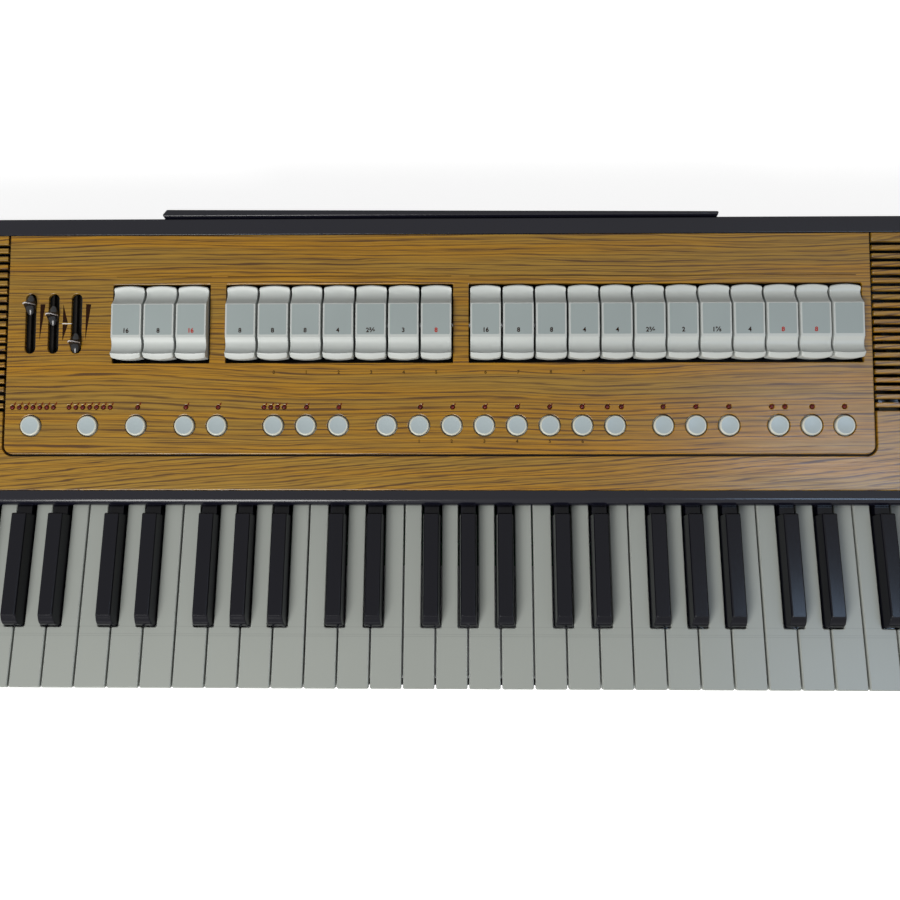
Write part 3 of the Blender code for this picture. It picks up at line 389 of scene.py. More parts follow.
class OrganStage(bpy.types.PropertyGroup):
    """Floor and light."""

    floor_size: FloatProperty(
        name="Floor size", description="Side of the floor", default=8.0, subtype="DISTANCE"
    )
    ambient: FloatProperty(name="Ambient", description="Light from all round", default=0.30)
    main_power: FloatProperty(
        name="Main light", description="Power of the front lamp", default=28.0, subtype="POWER"
    )
    side_power: FloatProperty(
        name="Side light", description="Power of the right lamp", default=9.5, subtype="POWER"
    )


# Places


def node_box(name):
    """Lowest and highest corner of a CAD node as two arrays."""
    low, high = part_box(name)
    return np.array(low), np.array(high)


def joint_named(name):
    """The frame's row for a joint."""
    return next(joint for joint in frame["joints"] if joint["name"] == name)


def keyboard_matrix():
    """From the keyboard frame to the world."""
    low, high = node_box("octave_1_white_keys")
    return Matrix.Translation((0.0, low[1], high[2]))


def panel_matrix():
    """From the panel frame to the world: the oak's box gives its length, and from that its front edge."""
    low, high = node_box("oak_surround")
    _, cos, sin = joint_named("slider_cap_1_slide")["axis"]
    _, deep, tall = high - low
    length = (deep * cos - tall * sin) / (cos * cos - sin * sin)
    place = Matrix.Translation((0.0, low[1], high[2] - length * sin))
    return place @ Matrix.Rotation(math.atan2(sin, cos), 4, "X"), length


ON_KEYS = keyboard_matrix()
ON_PANEL, PANEL_LENGTH = panel_matrix()
WORLD = Matrix.Identity(4)
OCTAVE_LOW, OCTAVE_HIGH = node_box("octave_1_white_keys")
WHITE_PITCH = (OCTAVE_HIGH[0] - OCTAVE_LOW[0] + KEY_GAP) / KEYS_IN_OCTAVE
OCTAVE_WIDTH = WHITE_PITCH * KEYS_IN_OCTAVE
KEYBOARD_LEFT = OCTAVE_LOW[0] - KEY_GAP / 2
COMB_LENGTH = OCTAVE_HIGH[1] - OCTAVE_LOW[1]
BLACK_HIGH = node_box("octave_1_black_keys")[1]
BLACK_RISE = BLACK_HIGH[2] - OCTAVE_HIGH[2]
TAB_LOW, TAB_HIGH = node_box("rocker_tab_01")
TAB_WIDTH = TAB_HIGH[0] - TAB_LOW[0] - TAB_GAP


# Forms: each returns a shell, an array of points with a list of faces


def skin(rings):
    """Faces between one closed ring of points and the next, and over both ends.

    Point (i, j) joins (i, j + 1) and (i + 1, j).
    """
    rings = np.asarray(rings, float)
    count, around = rings.shape[:2]
    here = np.arange(around)
    after = np.roll(here, -1)
    start = np.arange(count - 1)[:, None] * around
    quads = np.stack([start + here, start + after, start + around + after, start + around + here], -1)
    faces = quads.reshape(-1, 4).tolist()
    faces.append(here[::-1].tolist())
    faces.append((here + (count - 1) * around).tolist())
    return rings.reshape(-1, 3), faces


def turned(profile, middle, sides):
    """A profile of (radius, height) turned about an upright axis: x = r cos a, y = r sin a, z = height."""
    radius, height = np.asarray(profile, float).T
    angle = np.linspace(0.0, 2 * math.pi, sides, endpoint=False)
    x = middle[0] + radius[:, None] * np.cos(angle)
    y = middle[1] + radius[:, None] * np.sin(angle)
    z = np.repeat(height[:, None], sides, 1)
    return skin(np.stack([x, y, z], -1))


def rounded(corners, radius, steps=4):
    """A closed plan whose corners are arcs: centre + r (cos a, sin a) from one side's foot to the next."""
    corners = np.asarray(corners, float)
    radii = np.broadcast_to(radius, len(corners))
    points = []
    for i, corner in enumerate(corners):
        back = direction(corners[i - 1] - corner)
        ahead = direction(corners[(i + 1) % len(corners)] - corner)
        half = math.acos(np.clip(back @ ahead, -1, 1)) / 2
        reach = radii[i] / math.tan(half)
        centre = corner + direction(back + ahead) * radii[i] / math.sin(half)
        first = corner + back * reach - centre
        last = corner + ahead * reach - centre
        for share in np.linspace(0.0, 1.0, steps + 1):
            points.append(centre + radii[i] * direction(first * (1 - share) + last * share))
    return np.array(points)


def direction(vector):
    """The vector at length 1."""
    return vector / np.linalg.norm(vector)


def inset(outline, distance):
    """A closed counter-clockwise plan moved inward: each point goes d (n1 + n2) / (1 + n1 . n2)."""
    along = np.roll(outline, -1, 0) - outline
    along = along / np.linalg.norm(along, axis=1, keepdims=True)
    after = np.stack([-along[:, 1], along[:, 0]], -1)
    before = np.roll(after, 1, 0)
    share = 1 + np.sum(before * after, axis=1, keepdims=True)
    return outline + distance * (before + after) / share


def rimmed(outline, rim):
    """A plan raised along a rim: level j is the plan moved inward by the rim's inset, at the rim's height."""
    levels = [(inset(outline, distance), height) for distance, height in rim]
    return skin([np.column_stack([plan, np.full(len(plan), height)]) for plan, height in levels])


def round_rim(low, high, edge, steps=3):
    """Rim of a block with a round top edge: inset e (1 - cos a), height top - e (1 - sin a)."""
    angle = np.linspace(0.0, math.pi / 2, steps + 1)
    top = [(edge * (1 - math.cos(a)), high - edge * (1 - math.sin(a))) for a in angle]
    return [(0.0, low), *top]


def rectangle(left, right, front, back):
    """Corners counter-clockwise from the front left."""
    return [(left, front), (right, front), (right, back), (left, back)]


def run(profile, stations):
    """A profile of (y, z) run along x through the stations."""
    profile = np.asarray(profile, float)
    return skin([np.column_stack([np.full(len(profile), x), profile]) for x in stations])


def arc(centre, radius, first, last, steps=10):
    """Points c + r (cos a, sin a), the angles in degrees."""
    angle = np.radians(np.linspace(first, last, steps + 1))
    return [(centre[0] + radius * math.cos(a), centre[1] + radius * math.sin(a)) for a in angle]


def circle(middle, radius, sides):
    """Points m + r (cos a, sin a) all round."""
    angle = np.linspace(0.0, 2 * math.pi, sides, endpoint=False)
    return np.column_stack([middle[0] + radius * np.cos(angle), middle[1] + radius * np.sin(angle)])


def stadium(middle, width, length, sides=10):
    """A slot's plan: half circles w / 2 (cos a, sin a) about two centres (l - w) / 2 from its middle."""
    angle = np.linspace(0.0, math.pi, sides)
    cap = np.column_stack([np.cos(angle), np.sin(angle)]) * width / 2
    shift = np.array([0.0, (length - width) / 2])
    return np.concatenate([cap + shift, -cap - shift]) + np.asarray(middle)


def flat_plan(plan, height):
    """A flat sheet over a plan."""
    points = np.column_stack([np.asarray(plan, float), np.full(len(plan), height)])
    return points, [list(range(len(plan)))]


# Building


def to_mesh(name, shells, place):
    """One mesh of several shells, with each shell's faces turned outward."""
    form = bmesh.new()
    for points, faces in shells:
        verts = [form.verts.new(place @ Vector(point)) for point in points]
        made = [form.faces.new([verts[i] for i in face]) for face in faces]
        bmesh.ops.recalc_face_normals(form, faces=made)
    mesh = bpy.data.meshes.new(name)
    form.to_mesh(mesh)
    form.free()
    return mesh


def put(name, mesh, finishes, body, stands_for=(), slot=None, angle=35):
    """Shows a mesh as one piece that rides on a body and stands for the CAD nodes it replaces."""
    for finish in finishes:
        mesh.materials.append(FINISHES[finish])
    mesh.shade_smooth()
    mesh.set_sharp_from_angle(angle=math.radians(angle))
    obj = linked(name, mesh)
    shade = obj.modifiers.new("broad_faces_flat", "WEIGHTED_NORMAL")
    shade.keep_sharp = True
    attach(obj, body)
    if stands_for:
        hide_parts(*stands_for)
    return obj


def show(name, shells, place, *about):
    """Shows shells as one piece, about which the rest says what put takes after the mesh."""
    return put(name, to_mesh(name, shells, place), *about)


def linked(name, data):
    """A new object in the scene."""
    obj = bpy.data.objects.new(name, data)
    bpy.context.scene.collection.objects.link(obj)
    return obj


def flat_board(name, outlines, low, high, edge):
    """A board cut out by outlines inside its first one, with softened edges along all of them."""
    curve = bpy.data.curves.new(name, "CURVE")
    curve.dimensions = "2D"
    curve.fill_mode = "BOTH"
    curve.extrude = (high - low) / 2 - edge
    curve.bevel_depth = edge
    curve.bevel_resolution = 1
    curve.offset = -edge
    for outline in outlines:
        spline = curve.splines.new("POLY")
        spline.points.add(len(outline) - 1)
        flat = np.column_stack([outline, np.zeros(len(outline)), np.ones(len(outline))])
        spline.points.foreach_set("co", flat.ravel())
        spline.use_cyclic_u = True
    return made_mesh(name, curve, (0.0, 0.0, (low + high) / 2))


def printed(name, words, size, middle, height):
    """Printed figures as a flat mesh, centred on a place of the panel."""
    text = bpy.data.curves.new(name, "FONT")
    text.body = words
    text.size = size
    text.offset = size * INK_SPREAD
    text.align_x = "CENTER"
    text.align_y = "CENTER"
    return made_mesh(name, text, (*middle, height))


def made_mesh(name, curve, place):
    """The mesh of a curve or text, set at its place on the panel."""
    helper = linked(name, curve)
    bpy.context.view_layer.update()
    graph = bpy.context.evaluated_depsgraph_get()
    mesh = bpy.data.meshes.new_from_object(helper.evaluated_get(graph))
    bpy.data.objects.remove(helper, do_unlink=True)
    mesh.transform(ON_PANEL @ Matrix.Translation(place))
    mesh.materials.clear()
    return mesh


def together(name, meshes):
    """Several meshes as one."""
    form = bmesh.new()
    for mesh in meshes:
        form.from_mesh(mesh)
        bpy.data.meshes.remove(mesh)
    whole = bpy.data.meshes.new(name)
    form.to_mesh(whole)
    form.free()
    return whole


def dress(node, finish, edge=0.0):
    """Gives a CAD node its finish and, where an edge is named, rounds its sharp edges."""
    obj = frame["nodes"][node]
    obj.data.materials.clear()
    obj.data.materials.append(FINISHES[finish])
    if not edge:
        return
    weld = obj.modifiers.new("weld", "WELD")
    weld.merge_threshold = 0.00001
    flat = obj.modifiers.new("flatten", "DECIMATE")
    flat.decimate_type = "DISSOLVE"
    flat.angle_limit = math.radians(0.5)
    bevel = obj.modifiers.new("edges", "BEVEL")
    bevel.width = edge
    bevel.segments = 2
    bevel.limit_method = "ANGLE"
    bevel.angle_limit = math.radians(40)


# Finishes

FINISHES = {}
GRAIN_SCALE = 2500.0


class Finish:
    """A Principled material and the nodes that vary it over the object's own coordinates."""

    def __init__(self, name, colour, roughness, specular=0.5, metallic=0.0):
        self.material = bpy.data.materials.new(name)
        self.material.use_nodes = True
        self.material.diffuse_color = (*colour, 1.0)
        self.tree = self.material.node_tree
        self.shader = self.tree.nodes["Principled BSDF"]
        self.put("Base Color", (*colour, 1.0))
        self.put("Roughness", roughness)
        self.put("Specular IOR Level", specular)
        self.put("Metallic", metallic)
        self.place = self.node("ShaderNodeTexCoord").outputs["Object"]

    def put(self, socket, value):
        self.shader.inputs[socket].default_value = value

    def node(self, kind, inputs=(), **settings):
        """A node with its settings, its sockets set or linked by name."""
        made = self.tree.nodes.new(kind)
        for name, value in settings.items():
            setattr(made, name, value)
        for name, value in dict(inputs).items():
            self.feed(made.inputs[name], value)
        return made

    def feed(self, socket, value):
        if isinstance(value, bpy.types.NodeSocket):
            self.tree.links.new(value, socket)
        else:
            socket.default_value = value

    def link(self, socket, value):
        self.tree.links.new(value, self.shader.inputs[socket])

    def noise(self, scale, detail=2.0, stretch=None):
        """Noise over the object's coordinates, which may first be stretched by axis."""
        vector = self.place
        if stretch:
            inputs = {"Vector": vector, "Scale": stretch}
            vector = self.node("ShaderNodeMapping", inputs).outputs["Vector"]
        inputs = {"Vector": vector, "Scale": scale, "Detail": detail}
        return self.node("ShaderNodeTexNoise", inputs).outputs["Fac"]

    def fit(self, value, low, high, to_low=0.0, to_high=1.0):
        """Value between low and high carried smoothly to another range."""
        inputs = {"Value": value, "From Min": low, "From Max": high, "To Min": to_low, "To Max": to_high}
        made = self.node("ShaderNodeMapRange", inputs, interpolation_type="SMOOTHSTEP")
        return made.outputs["Result"]

    def mix(self, share, first, second):
        """Two colours, mixed by a share."""
        made = self.node("ShaderNodeMix", data_type="RGBA")
        for socket, value in zip((made.inputs[0], made.inputs[6], made.inputs[7]), (share, first, second)):
            self.feed(socket, value if not isinstance(value, tuple) else (*value, 1.0))
        return made.outputs[2]

    def math(self, operation, first, second=0.0):
        made = self.node("ShaderNodeMath", operation=operation)
        self.feed(made.inputs[0], first)
        self.feed(made.inputs[1], second)
        return made.outputs[0]

    def bump(self, height, depth):
        made = self.node("ShaderNodeBump", {"Height": height, "Distance": depth})
        self.link("Normal", made.outputs["Normal"])


def shaded(colour, share):
    """A colour made darker or lighter."""
    return tuple(c * share for c in colour)


def plastic(name, colour, roughness, specular, depth=0.000005, drift=0.04):
    """Moulded plastic: a colour that drifts a little over the piece, and a fine grain."""
    made = Finish(name, colour, roughness, specular)
    shade = made.fit(made.noise(9.0, 3.0), 0.3, 0.7)
    made.link("Base Color", made.mix(shade, shaded(colour, 1 - drift), shaded(colour, 1 + drift)))
    fine = made.noise(GRAIN_SCALE)
    made.link("Roughness", made.fit(fine, 0.2, 0.8, roughness - 0.05, roughness + 0.05))
    made.bump(fine, depth)
    return made


def key_plastic(name, colour, roughness, specular):
    """Key plastic with three fine moulding lines across the keys' heads."""
    made = plastic(name, colour, roughness, specular, 0.000002, 0.02)
    y = made.node("ShaderNodeSeparateXYZ", {"Vector": made.place}).outputs["Y"]
    front = ON_KEYS.translation.y
    lines = None
    for place in MOULDING_LINES:
        away = made.math("ABSOLUTE", made.math("SUBTRACT", y, front + place))
        line = made.fit(away, 0.00015, 0.00045, 1.0, 0.0)
        lines = line if lines is None else made.math("MAXIMUM", lines, line)
    base = made.shader.inputs["Base Color"].links[0].from_socket
    share = made.math("MULTIPLY", lines, 0.20)
    made.link("Base Color", made.mix(share, base, shaded(colour, 0.5)))
    return made.material


def oak(name, slant, gold, olive, dark):
    """Lacquered oak: dark lines along the board at uneven spacing, broken up, over gold and olive bands.

    A line lies where the fraction of (y + slant x + drift + jitter) / spacing is near a half.
    """
    made = Finish(name, gold, 0.30, 0.35)
    axes = made.node("ShaderNodeSeparateXYZ", {"Vector": made.place}).outputs
    drift = made.noise(1.0, 1.0, (3.0, 9.0, 9.0))
    jitter = made.noise(1.0, 2.0, (15.0, 190.0, 190.0))
    along = made.math("ADD", axes["Y"], made.math("MULTIPLY", axes["X"], slant))
    along = made.math("ADD", along, made.math("MULTIPLY", drift, 0.022))
    along = made.math("ADD", along, made.math("MULTIPLY", jitter, 0.0045))
    tone = made.fit(made.noise(1.0, 3.0, (2.6, 70.0, 70.0)), 0.36, 0.64)
    colour = made.mix(tone, gold, olive)
    for spacing, depth, breaks_per_metre in ((0.0037, 0.90, 14.0), (0.0024, 0.55, 30.0)):
        part = made.math("FRACT", made.math("DIVIDE", along, spacing))
        away = made.math("ABSOLUTE", made.math("SUBTRACT", part, 0.5))
        line = made.fit(away, 0.04, 0.20, 1.0, 0.0)
        breaks = made.noise(1.0, 2.0, (breaks_per_metre, 260.0, 260.0))
        share = made.math("MULTIPLY", line, made.fit(breaks, 0.36, 0.58, 0.28, depth))
        colour = made.mix(share, colour, dark)
    fibres = made.noise(1.0, 2.0, (28.0, 1300.0, 1300.0))
    colour = made.mix(made.fit(fibres, 0.42, 0.68, 0.0, 0.35), colour, dark)
    made.link("Base Color", colour)
    made.link("Roughness", made.fit(fibres, 0.3, 0.7, 0.27, 0.36))
    made.bump(fibres, 0.00003)
    return made.material


def steel(name, colour):
    """Plated sheet with a fine brushed grain."""
    made = Finish(name, colour, 0.35, 0.5, 1.0)
    grain = made.noise(1.0, 2.0, (40.0, 900.0, 900.0))
    made.link("Roughness", made.fit(grain, 0.3, 0.7, 0.28, 0.45))
    made.bump(grain, 0.00002)
    return made.material


def circuit(name, colour):
    """Solder mask over a pattern of tracks."""
    made = Finish(name, colour, 0.4, 0.4)
    cells = made.node("ShaderNodeTexBrick", {"Vector": made.place, "Scale": 90.0})
    tracks = made.fit(cells.outputs["Fac"], 0.4, 0.6)
    made.link("Base Color", made.mix(tracks, colour, shaded(colour, 1.8)))
    return made.material


def lamp_red():
    """Red lamp plastic, darker in places."""
    made = Finish("lamp_red", (0.07, 0.006, 0.004), 0.22, 0.15)
    shade = made.fit(made.noise(400.0), 0.3, 0.7)
    made.link("Base Color", made.mix(shade, (0.055, 0.004, 0.002), (0.13, 0.008, 0.004)))
    return made.material


def ink(name, colour):
    """Printed ink, slightly uneven; it also makes the painted red light beside the lamps."""
    made = Finish(name, colour, 0.5, 0.05)
    shade = made.fit(made.noise(1500.0), 0.3, 0.7)
    made.link("Base Color", made.mix(shade, shaded(colour, 0.85), colour))
    return made.material


def make_finishes():
    """All finishes by name, in the colours of the settings."""
    colours = bpy.context.scene.organ_colours
    wood = tuple(colours.oak_gold), tuple(colours.oak_olive), tuple(colours.oak_dark)
    FINISHES.update(
        oak=oak("oak", 0.0, *wood),
        slanted_oak=oak("slanted_oak", -0.085, *wood),
        anthracite=plastic("anthracite_plastic", colours.case, 0.20, 0.31, 0.000003).material,
        white=key_plastic("white_key_plastic", colours.white_key, 0.34, 0.26),
        black=plastic("black_key_plastic", colours.black_key, 0.18, 0.17, 0.000002).material,
        tab=plastic("tab_plastic", colours.tab, 0.42, 0.3).material,
        label=plastic("label_film", colours.label, 0.45, 0.25).material,
        button=plastic("button_plastic", colours.button, 0.34, 0.4).material,
        # Painted shade: the buttons' hollows, a darker and bluer copy of the button plastic
        dish=plastic("button_hollow_painted_shade", (0.35, 0.41, 0.425), 0.4, 0.4).material,
        cap=plastic("slider_cap_plastic", (0.002, 0.002, 0.003), 0.17, 0.4, 0.000001).material,
        # Cradle plastic, also the painted shade on the floor of the panel's groove
        cradle=plastic("cradle_plastic", (0.010, 0.008, 0.006), 0.6, 0.2).material,
        steel=steel("zinc_plated_steel", (0.50, 0.51, 0.53)),
        circuit=circuit("circuit_board_green", (0.03, 0.14, 0.06)),
        rubber=plastic("rubber", (0.015, 0.015, 0.015), 0.8, 0.2).material,
        speaker=plastic("speaker_black", (0.02, 0.02, 0.02), 0.85, 0.1).material,
        lamp=lamp_red(),
        black_ink=ink("black_ink", (0.018, 0.006, 0.002)),
        red_ink=ink("red_ink", (0.42, 0.018, 0.008)),
        # Painted red light beside the lamps, made like an ink
        dark_red_ink=ink("dark_red_ink", (0.13, 0.016, 0.006)),
        rule_ink=ink("rule_ink", (0.07, 0.035, 0.008)),
        white_ink=ink("white_ink", (0.80, 0.77, 0.78)),
    )


# Keys


def black_middles():
    """Middles of the five black keys from the left edge of their octave."""
    cracks = ((1, -PAIR_SPREAD), (2, PAIR_SPREAD), (4, -TRIO_SPREAD), (5, 0.0), (6, TRIO_SPREAD))
    return [crack * WHITE_PITCH + spread for crack, spread in cracks]


def tail_limits(number):
    """Left and right side of a white key between the black keys beside it."""
    left = number * WHITE_PITCH + KEY_GAP / 2
    right = (number + 1) * WHITE_PITCH - KEY_GAP / 2
    reach = BLACK_BASE / 2 + BLACK_CLEARANCE
    for middle in black_middles():
        if left - reach < middle < left + WHITE_PITCH / 2:
            left = middle + reach
        elif right - WHITE_PITCH / 2 < middle < right + reach:
            right = middle - reach
    return left, right


def white_plan(head, tail, back):
    """Corners of a white key from above, counter-clockwise from its front left."""
    points = [(head[0], 0.0), (head[1], 0.0)]
    if tail[1] < head[1]:
        points += [(head[1], HEAD_LENGTH), (tail[1], HEAD_LENGTH)]
    points += [(tail[1], back), (tail[0], back)]
    if tail[0] > head[0]:
        points += [(tail[0], HEAD_LENGTH), (head[0], HEAD_LENGTH)]
    return points


def white_key(left, head, tail, settings):
    """A white key: its plan with round corners, raised along a rim with a lip and a round top edge.

    A corner's radius is larger than the rim's inset, or the plan would cross itself there.
    """
    corners = np.array(white_plan(head, tail, COMB_LENGTH - RAIL_BLOCK)) + (left, 0.0)
    radii = np.full(len(corners), settings.white_edge + 0.0002)
    radii[:2] = settings.white_corner
    plan = rounded(corners, radii, 3)
    under = [(SKIRT_INSET, -WHITE_DEPTH), (SKIRT_INSET, -WHITE_PLATE), (0.0, -WHITE_PLATE)]
    rim = under + round_rim(-WHITE_PLATE, 0.0, settings.white_edge)[1:]
    return rimmed(plan, rim)


def comb_rail(left, right, back, top):
    """The bar that carries the keys of a comb at their rear."""
    plan = np.array(rectangle(left, right, back - RAIL_BLOCK, back))
    return rimmed(plan, [(0.0, COMB_UNDERSIDE), (0.0, top)])


def black_cap(middle, settings):
    """A black key's raised part: rectangles with round corners, smaller from level to level.

    Up to the chamfer the half width falls evenly and the front leans back as in front_curve. Over the
    chamfer, at the share s, it draws in by s and rises by c sin(s pi / 2).
    """
    front = HEAD_LENGTH + BLACK_CLEARANCE
    back = front + BLACK_LENGTH
    chamfer = BLACK_RISE - settings.black_chamfer
    levels = [(-LIP, 0.0), (0.0, 0.0), (BLACK_FOOT, 0.0)]
    levels += front_curve(BLACK_FOOT, chamfer, settings.black_slope)
    rings = []
    for height, lean in levels:
        share = max(height, 0.0) / chamfer
        half = (BLACK_BASE + (settings.black_shoulder - BLACK_BASE) * share) / 2
        rings.append(cap_ring(middle, half, front + lean, back - BLACK_REAR[0] * share, height))
    back -= BLACK_REAR[0]
    drop = (settings.black_shoulder - settings.black_flat) / 2
    for share in (0.35, 0.7, 0.9, 1.0):
        half = settings.black_shoulder / 2 - drop * share
        height = chamfer + settings.black_chamfer * math.sin(share * math.pi / 2)
        lean = settings.black_slope + CHAMFER_LEAN * share
        rings.append(cap_ring(middle, half, front + lean, back - BLACK_REAR[1] * share, height))
    return skin(rings)


def front_curve(low, high, lean):
    """A black key's front from the side: at the share s of the height it leans back by l s^3."""
    for share in (0.2, 0.4, 0.55, 0.67, 0.77, 0.86, 0.94, 1.0):
        yield low + (high - low) * share, lean * share**3


def cap_ring(middle, half, front, back, height):
    """One level of a black key: a rectangle with corners c + r (cos a, sin a) at a height."""
    plan = rounded(rectangle(middle - half, middle + half, front, back), BLACK_CORNER, 3)
    return np.column_stack([plan, np.full(len(plan), height)])


def black_neck(middle):
    """The lower run of a black key that goes on under the key rail, then a thin strap to the comb."""
    left, right = middle - NECK_WIDTH / 2, middle + NECK_WIDTH / 2
    front = HEAD_LENGTH + 2 * LIP
    back = BLACK_HIGH[1] - OCTAVE_LOW[1] - RAIL_BLOCK / 2
    thin = COMB_LENGTH - RAIL_BLOCK - HINGE_LENGTH
    low = rectangle(left, right, front, thin)
    neck = rimmed(rounded(low, NECK_CORNER, 2), round_rim(-NECK_DEPTH, NECK_RISE, NECK_EDGE))
    strap = rectangle(left, right, thin - STRAP_LAP, back)
    return [neck, rimmed(np.array(strap), [(0.0, height) for height in STRAP])]


class MakeWhiteKeys(bpy.types.Operator):
    """Makes the white keys, an octave at a time, and the top key"""

    bl_idname = "organ.white_keys"
    bl_label = "White keys"

    def execute(self, context):
        settings = context.scene.organ_keys
        for octave in range(OCTAVES):
            left = KEYBOARD_LEFT + octave * OCTAVE_WIDTH
            right = left + OCTAVE_WIDTH
            shells = [comb_rail(left + KEY_GAP / 2, right - KEY_GAP / 2, COMB_LENGTH, WHITE_COMB_TOP)]
            for number in range(KEYS_IN_OCTAVE):
                head = (number * WHITE_PITCH + KEY_GAP / 2, (number + 1) * WHITE_PITCH - KEY_GAP / 2)
                shells.append(white_key(left, head, tail_limits(number), settings))
            self.comb(f"octave_{octave + 1}_white_keys", shells)
        left = KEYBOARD_LEFT + OCTAVES * OCTAVE_WIDTH
        head = (KEY_GAP / 2, WHITE_PITCH - KEY_GAP / 2)
        rail = comb_rail(left + head[0], left + head[1], COMB_LENGTH, WHITE_COMB_TOP)
        self.comb("top_c_key", [white_key(left, head, head, settings), rail])
        return {"FINISHED"}

    def comb(self, node, shells):
        show(f"{node}_look", shells, ON_KEYS, ["white"], node, [node], "white_key_plastic")


class MakeBlackKeys(bpy.types.Operator):
    """Makes the black keys, an octave at a time"""

    bl_idname = "organ.black_keys"
    bl_label = "Black keys"

    def execute(self, context):
        settings = context.scene.organ_keys
        back = BLACK_HIGH[1] - OCTAVE_LOW[1]
        for octave in range(OCTAVES):
            node = f"octave_{octave + 1}_black_keys"
            low, high = node_box(node)
            left = KEYBOARD_LEFT + octave * OCTAVE_WIDTH
            shells = [comb_rail(low[0], high[0], back, BLACK_COMB_TOP)]
            for middle in black_middles():
                shells.append(black_cap(left + middle, settings))
                shells += black_neck(left + middle)
            show(f"{node}_look", shells, ON_KEYS, ["black"], node, [node], "black_key_plastic")
        return {"FINISHED"}


# Panel


def lamp_middles():
    """x of every lamp: each run has its first place, its count and its steps."""
    return [(first + i * steps) * STEP for first, count, steps in LAMPS for i in range(count)]


def button_middles(runs):
    """x of every button of the runs."""
    return [(first + i * BUTTON_STEPS) * STEP for first, count in runs for i in range(count)]


def slider_x(number):
    """x of a slide control's middle."""
    return (SLIDER_FIRST + number * SLIDER_STEPS) * STEP


def control_outlines():
    """The control panel's own outline, then its wells, slots and holes."""
    half = CONTROL_WIDTH / 2
    corners = [(-half, CONTROL_FRONT), (half, CONTROL_FRONT), (half, PANEL_LENGTH), (-half, PANEL_LENGTH)]
    radii = np.repeat([CONTROL_CORNER, CONTROL_REAR_CORNER], 2)
    yield rounded(corners, radii, 8)
    reach = TAB_LENGTH / 2 + TAB_MARGIN
    for first, count in TAB_GROUPS:
        left, right = first * STEP - WELL_END, (first + count) * STEP + WELL_END
        yield rounded(rectangle(left, right, TAB_MIDDLE - reach, TAB_MIDDLE + reach), WELL_CORNER, 3)
    for number in range(len(SLIDER_SETTINGS)):
        yield stadium((slider_x(number), SLIDER_MIDDLE), *SLIDER_SLOT)
    for _, runs in BUTTON_STRIPS:
        for x in button_middles(runs):
            yield circle((x, BUTTON_ROW), BUTTON_HOLE, 48)
    for x in lamp_middles():
        yield circle((x, LAMP_ROW), LAMP_RADIUS + LAMP_CLEARANCE, 20)


def grille_levels():
    """Rear and front edge of each grille slot, from the rear one forward."""
    for number in reversed(range(GRILLE_SLOTS)):
        middle = GRILLE_MIDDLE + (number - (GRILLE_SLOTS - 1) / 2) * GRILLE_PITCH
        yield middle + GRILLE_OPEN / 2, middle - GRILLE_OPEN / 2


def surround_outline(grow, end, notched):
    """The surround's U-shaped plan: its opening has round front corners, and its flanks may be slotted."""
    half = CONTROL_WIDTH / 2 + grow
    radius = CONTROL_CORNER + grow
    reach = CONTROL_WIDTH / 2 + GROOVE + GRILLE_LENGTH
    flank = [(half, PANEL_LENGTH)]
    for rear, front in grille_levels() if notched else ():
        flank += [(half, rear), (reach, rear), (reach, front), (half, front)]
    flank += arc((half - radius, CONTROL_FRONT - grow + radius), radius, 0, -90, 12)
    mirrored = [(-x, y) for x, y in reversed(flank)]
    return [(-end, 0.0), (end, 0.0), (end, PANEL_LENGTH), *flank, *mirrored, (-end, PANEL_LENGTH)]


def surround_mesh(edge):
    """The surround in two levels: the upper one round the groove, the lower one under the panel's rim, all in
    the dark cradle plastic as painted shade on the groove's floor.
    """
    end = node_box("oak_surround")[1][0]
    seat = -CONTROL_BOARD - SEAT
    upper = flat_board("surround_top", [surround_outline(GROOVE, end, True)], seat, 0.0, edge)
    outlines = [surround_outline(-REBATE, end, False)]
    inner = CONTROL_WIDTH / 2 + GROOVE - REBATE / 2
    outer = CONTROL_WIDTH / 2 + GROOVE + GRILLE_LENGTH
    for rear, front in grille_levels():
        outlines.append(rectangle(inner, outer, front, rear))
        outlines.append(rectangle(-outer, -inner, front, rear))
    lower = flat_board("surround_seat", outlines, -BOARD, seat, SEAT_EDGE)
    # Painted shade: the whole lower level takes the dark cradle plastic in place of oak, so the groove's
    # floor looks shaded
    lower.polygons.foreach_set("material_index", np.ones(len(lower.polygons), int))
    return together("oak_surround_look", [upper, lower])


class MakePanel(bpy.types.Operator):
    """Makes the oak boards"""

    bl_idname = "organ.panel"
    bl_label = "Oak panel"

    def execute(self, context):
        edge = context.scene.organ_panel.board_edge
        mesh = flat_board("control_panel_look", control_outlines(), -CONTROL_BOARD, 0.0, edge)
        put("control_panel_look", mesh, ["oak"], "case", ["control_panel"], "oak")
        mesh = surround_mesh(edge)
        # The second finish paints shade on the groove's floor
        put("oak_surround_look", mesh, ["slanted_oak", "cradle"], "case", ["oak_surround"], "oak")
        return {"FINISHED"}


